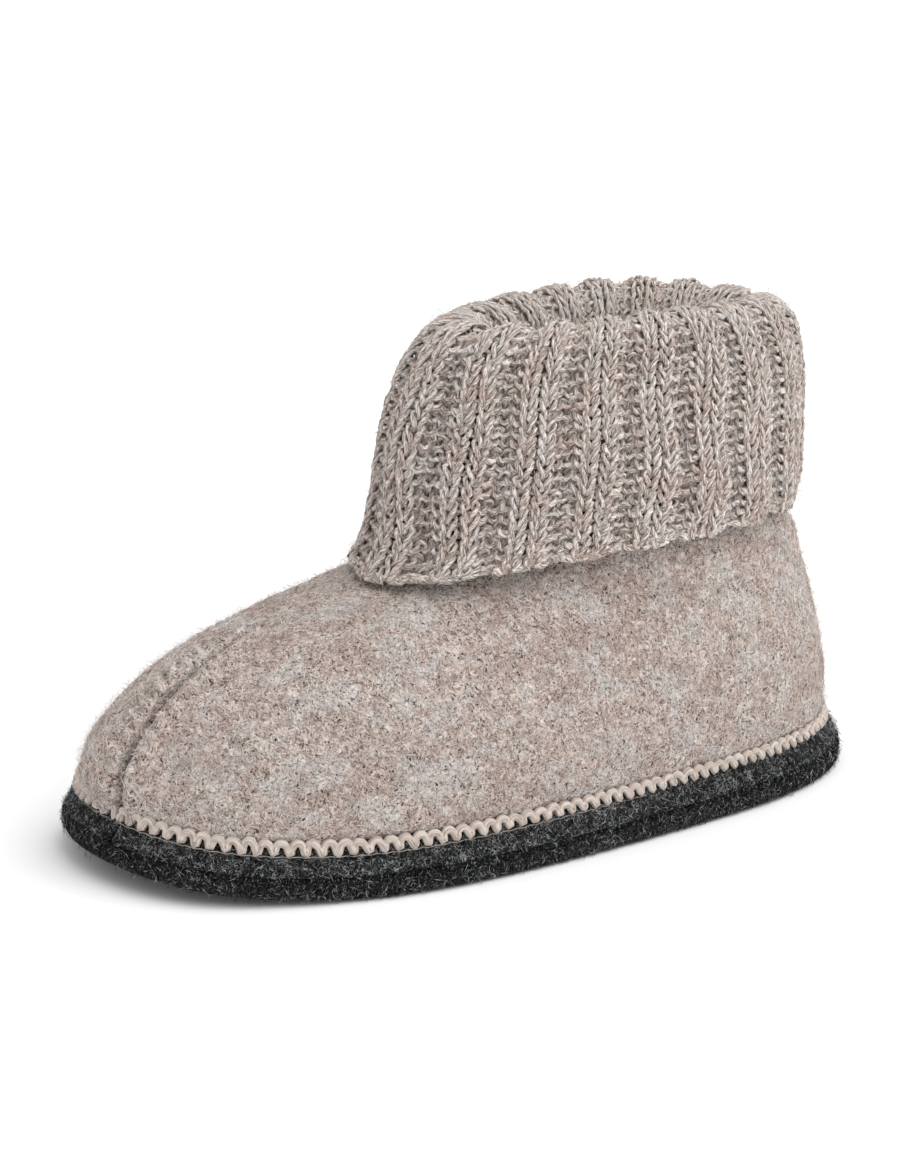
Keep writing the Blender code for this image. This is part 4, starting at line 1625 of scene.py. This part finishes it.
def spread_at_toe(way):
    """The way along the cord, with its turns wider apart at both ends, which meet at the toe."""
    return way + CORD_TOE_SPREAD * np.sin(2 * np.pi * way) / (2 * np.pi)


def cord_on_rim(way):
    """Share of the way round the rim, with a small gap for the toe seam."""
    gap = CORD_GAP / RIM_LENGTH
    return SEAM_SHARE + gap + way * (1 - 2 * gap)


def near_heel(way):
    """0 at the toe and 1 at the heel."""
    return 0.5 - 0.5 * np.cos(2 * np.pi * way)


periods = round(RIM_LENGTH * JOINT_SHARE / CORD_PERIOD)
print(periods, "turns of the cord")

# %% Cord over the joint
rng = np.random.default_rng(61)
t = 2 * np.pi * np.arange(periods * CORD_POINTS + 1) / CORD_POINTS
swing_no = np.minimum(np.arange(len(t)) // CORD_POINTS, periods - 1)
taller = (1 + TURN_TALL * rng.standard_normal(periods))[swing_no]
sideways = TURN_SIDEWAYS * rng.standard_normal(periods)[swing_no] * np.sin(t / 2) ** 2
cord_way = spread_at_toe((t / (2 * np.pi) - CORD_HEAD * np.sin(t) + sideways) / periods)
cord_rise = -CORD_HALF_HEIGHT * (np.cos(t) + CORD_FLAT_TOP * np.cos(2 * t)) * taller
cord_rise *= 1 - CORD_HEEL_LOWER * near_heel(cord_way)
cord_end = np.exp(-np.minimum(t, t[-1] - t))
cord_path, cord_out = over_joint(cord_on_rim(cord_way), cord_rise, CORD_STAND - CORD_TUCK * cord_end)
cord_swell = CORD_RADIUS * (1 - CORD_HEEL_FINER * near_heel(cord_way))
cord_swell = cord_swell * (1 + CORD_SWELL * rng.standard_normal(len(t)))
edge_cord = tubes("edge_cord", cord_path[None], cord_out[None], cord_swell[None], 6, closed=False)


def cream_yarn():
    """Cream cord with fine strands along it and a little dust."""
    material, tree, shader = new_material("cream_yarn", 0.85, 0.3, tone(245, 236, 224))
    along, turn = yarn_parts(tree)
    strands = noise(tree, streaks_along(tree, along, 0.25, turn, 13.0), 1.0, 3.0, 0.4)
    dust = noise(tree, object_place(tree), 320.0, 2.0)
    stops = [(0.34, tone(152, 137, 128)), (0.46, tone(190, 177, 168)), (0.64, tone(215, 205, 197))]
    body = ramp(tree, strands, stops)
    colour = mix(tree, level(tree, dust, 0.55, 0.75), body, tone(188, 173, 160))
    wear(tree, shader, colour, bump(tree, strands, 0.28 * MM))
    return material


CREAM = cream_yarn()
dress(edge_cord, CREAM, "edging_yarn")

# %% Sewing thread under the cord
THREAD_RADIUS = 0.09 * MM
THREAD_DROP = -2.3 * MM
THREAD_WAVE = 0.1 * MM
# The thread stands free of the band at the toe and sinks into its felt at the heel
THREAD_STAND = 0.45 * MM
THREAD_SINK = 0.8 * MM

thread_points = periods * 8
thread_way = np.arange(thread_points + 1) / thread_points
thread_heel = near_heel(thread_way)
thread_rise = THREAD_DROP * (1 - CORD_HEEL_LOWER * thread_heel)
thread_rise = thread_rise - THREAD_WAVE * np.cos(2 * np.pi * periods * thread_way)
thread_share = cord_on_rim(spread_at_toe(thread_way))
thread_path, thread_out = over_joint(thread_share, thread_rise, THREAD_STAND - THREAD_SINK * thread_heel)
couching = tubes("couching_thread", thread_path[None], thread_out[None], THREAD_RADIUS, 4, closed=False)
dress(couching, CREAM, "edging_yarn")

# %% [markdown]
# ## Insole
# The insole keeps its CAD shape: a flat sock of felt that lies inside. Only its finish is new, a plain
# grey-beige felt with soft lumps.

# %% Insole felt
def sock_felt():
    """Plain grey-beige felt."""
    material, tree, shader = new_material("sock_felt", 0.95, 0.25, tone(220, 212, 204))
    place = object_place(tree)
    clumps = noise(tree, place, 380.0, 3.0, 0.8)
    tangle = noise(tree, place, 1300.0, 3.0, 3.0, 0.6)
    ground = ramp(tree, clumps, [(0.3, tone(124, 115, 108)), (0.7, tone(164, 155, 147))])
    colour = mix(tree, level(tree, tangle, 0.52, 0.75), ground, tone(196, 188, 180))
    wear(tree, shader, colour, bump(tree, tangle, 0.5 * MM))
    return material


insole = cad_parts["insole"]
insole.data.materials.clear()
insole.data.materials.append(sock_felt())
print("insole dressed")

# %% [markdown]
# ## Sizes
# Cloth may stand a little proud of its CAD solid. Both boxes are printed, corner by corner.

# %% Boxes of the CAD model and of the dressed slipper
bpy.context.view_layer.update()
SHOWN_BOX = [list(corner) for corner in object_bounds()]
for cad, shown in zip(CAD_BOX, SHOWN_BOX):
    print("CAD", [round(x / MM, 2) for x in cad], "shown", [round(x / MM, 2) for x in shown])
total = sum(len(o.data.loop_triangles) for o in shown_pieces() if o.type == "MESH")
print(f"{total:,} triangles in all")
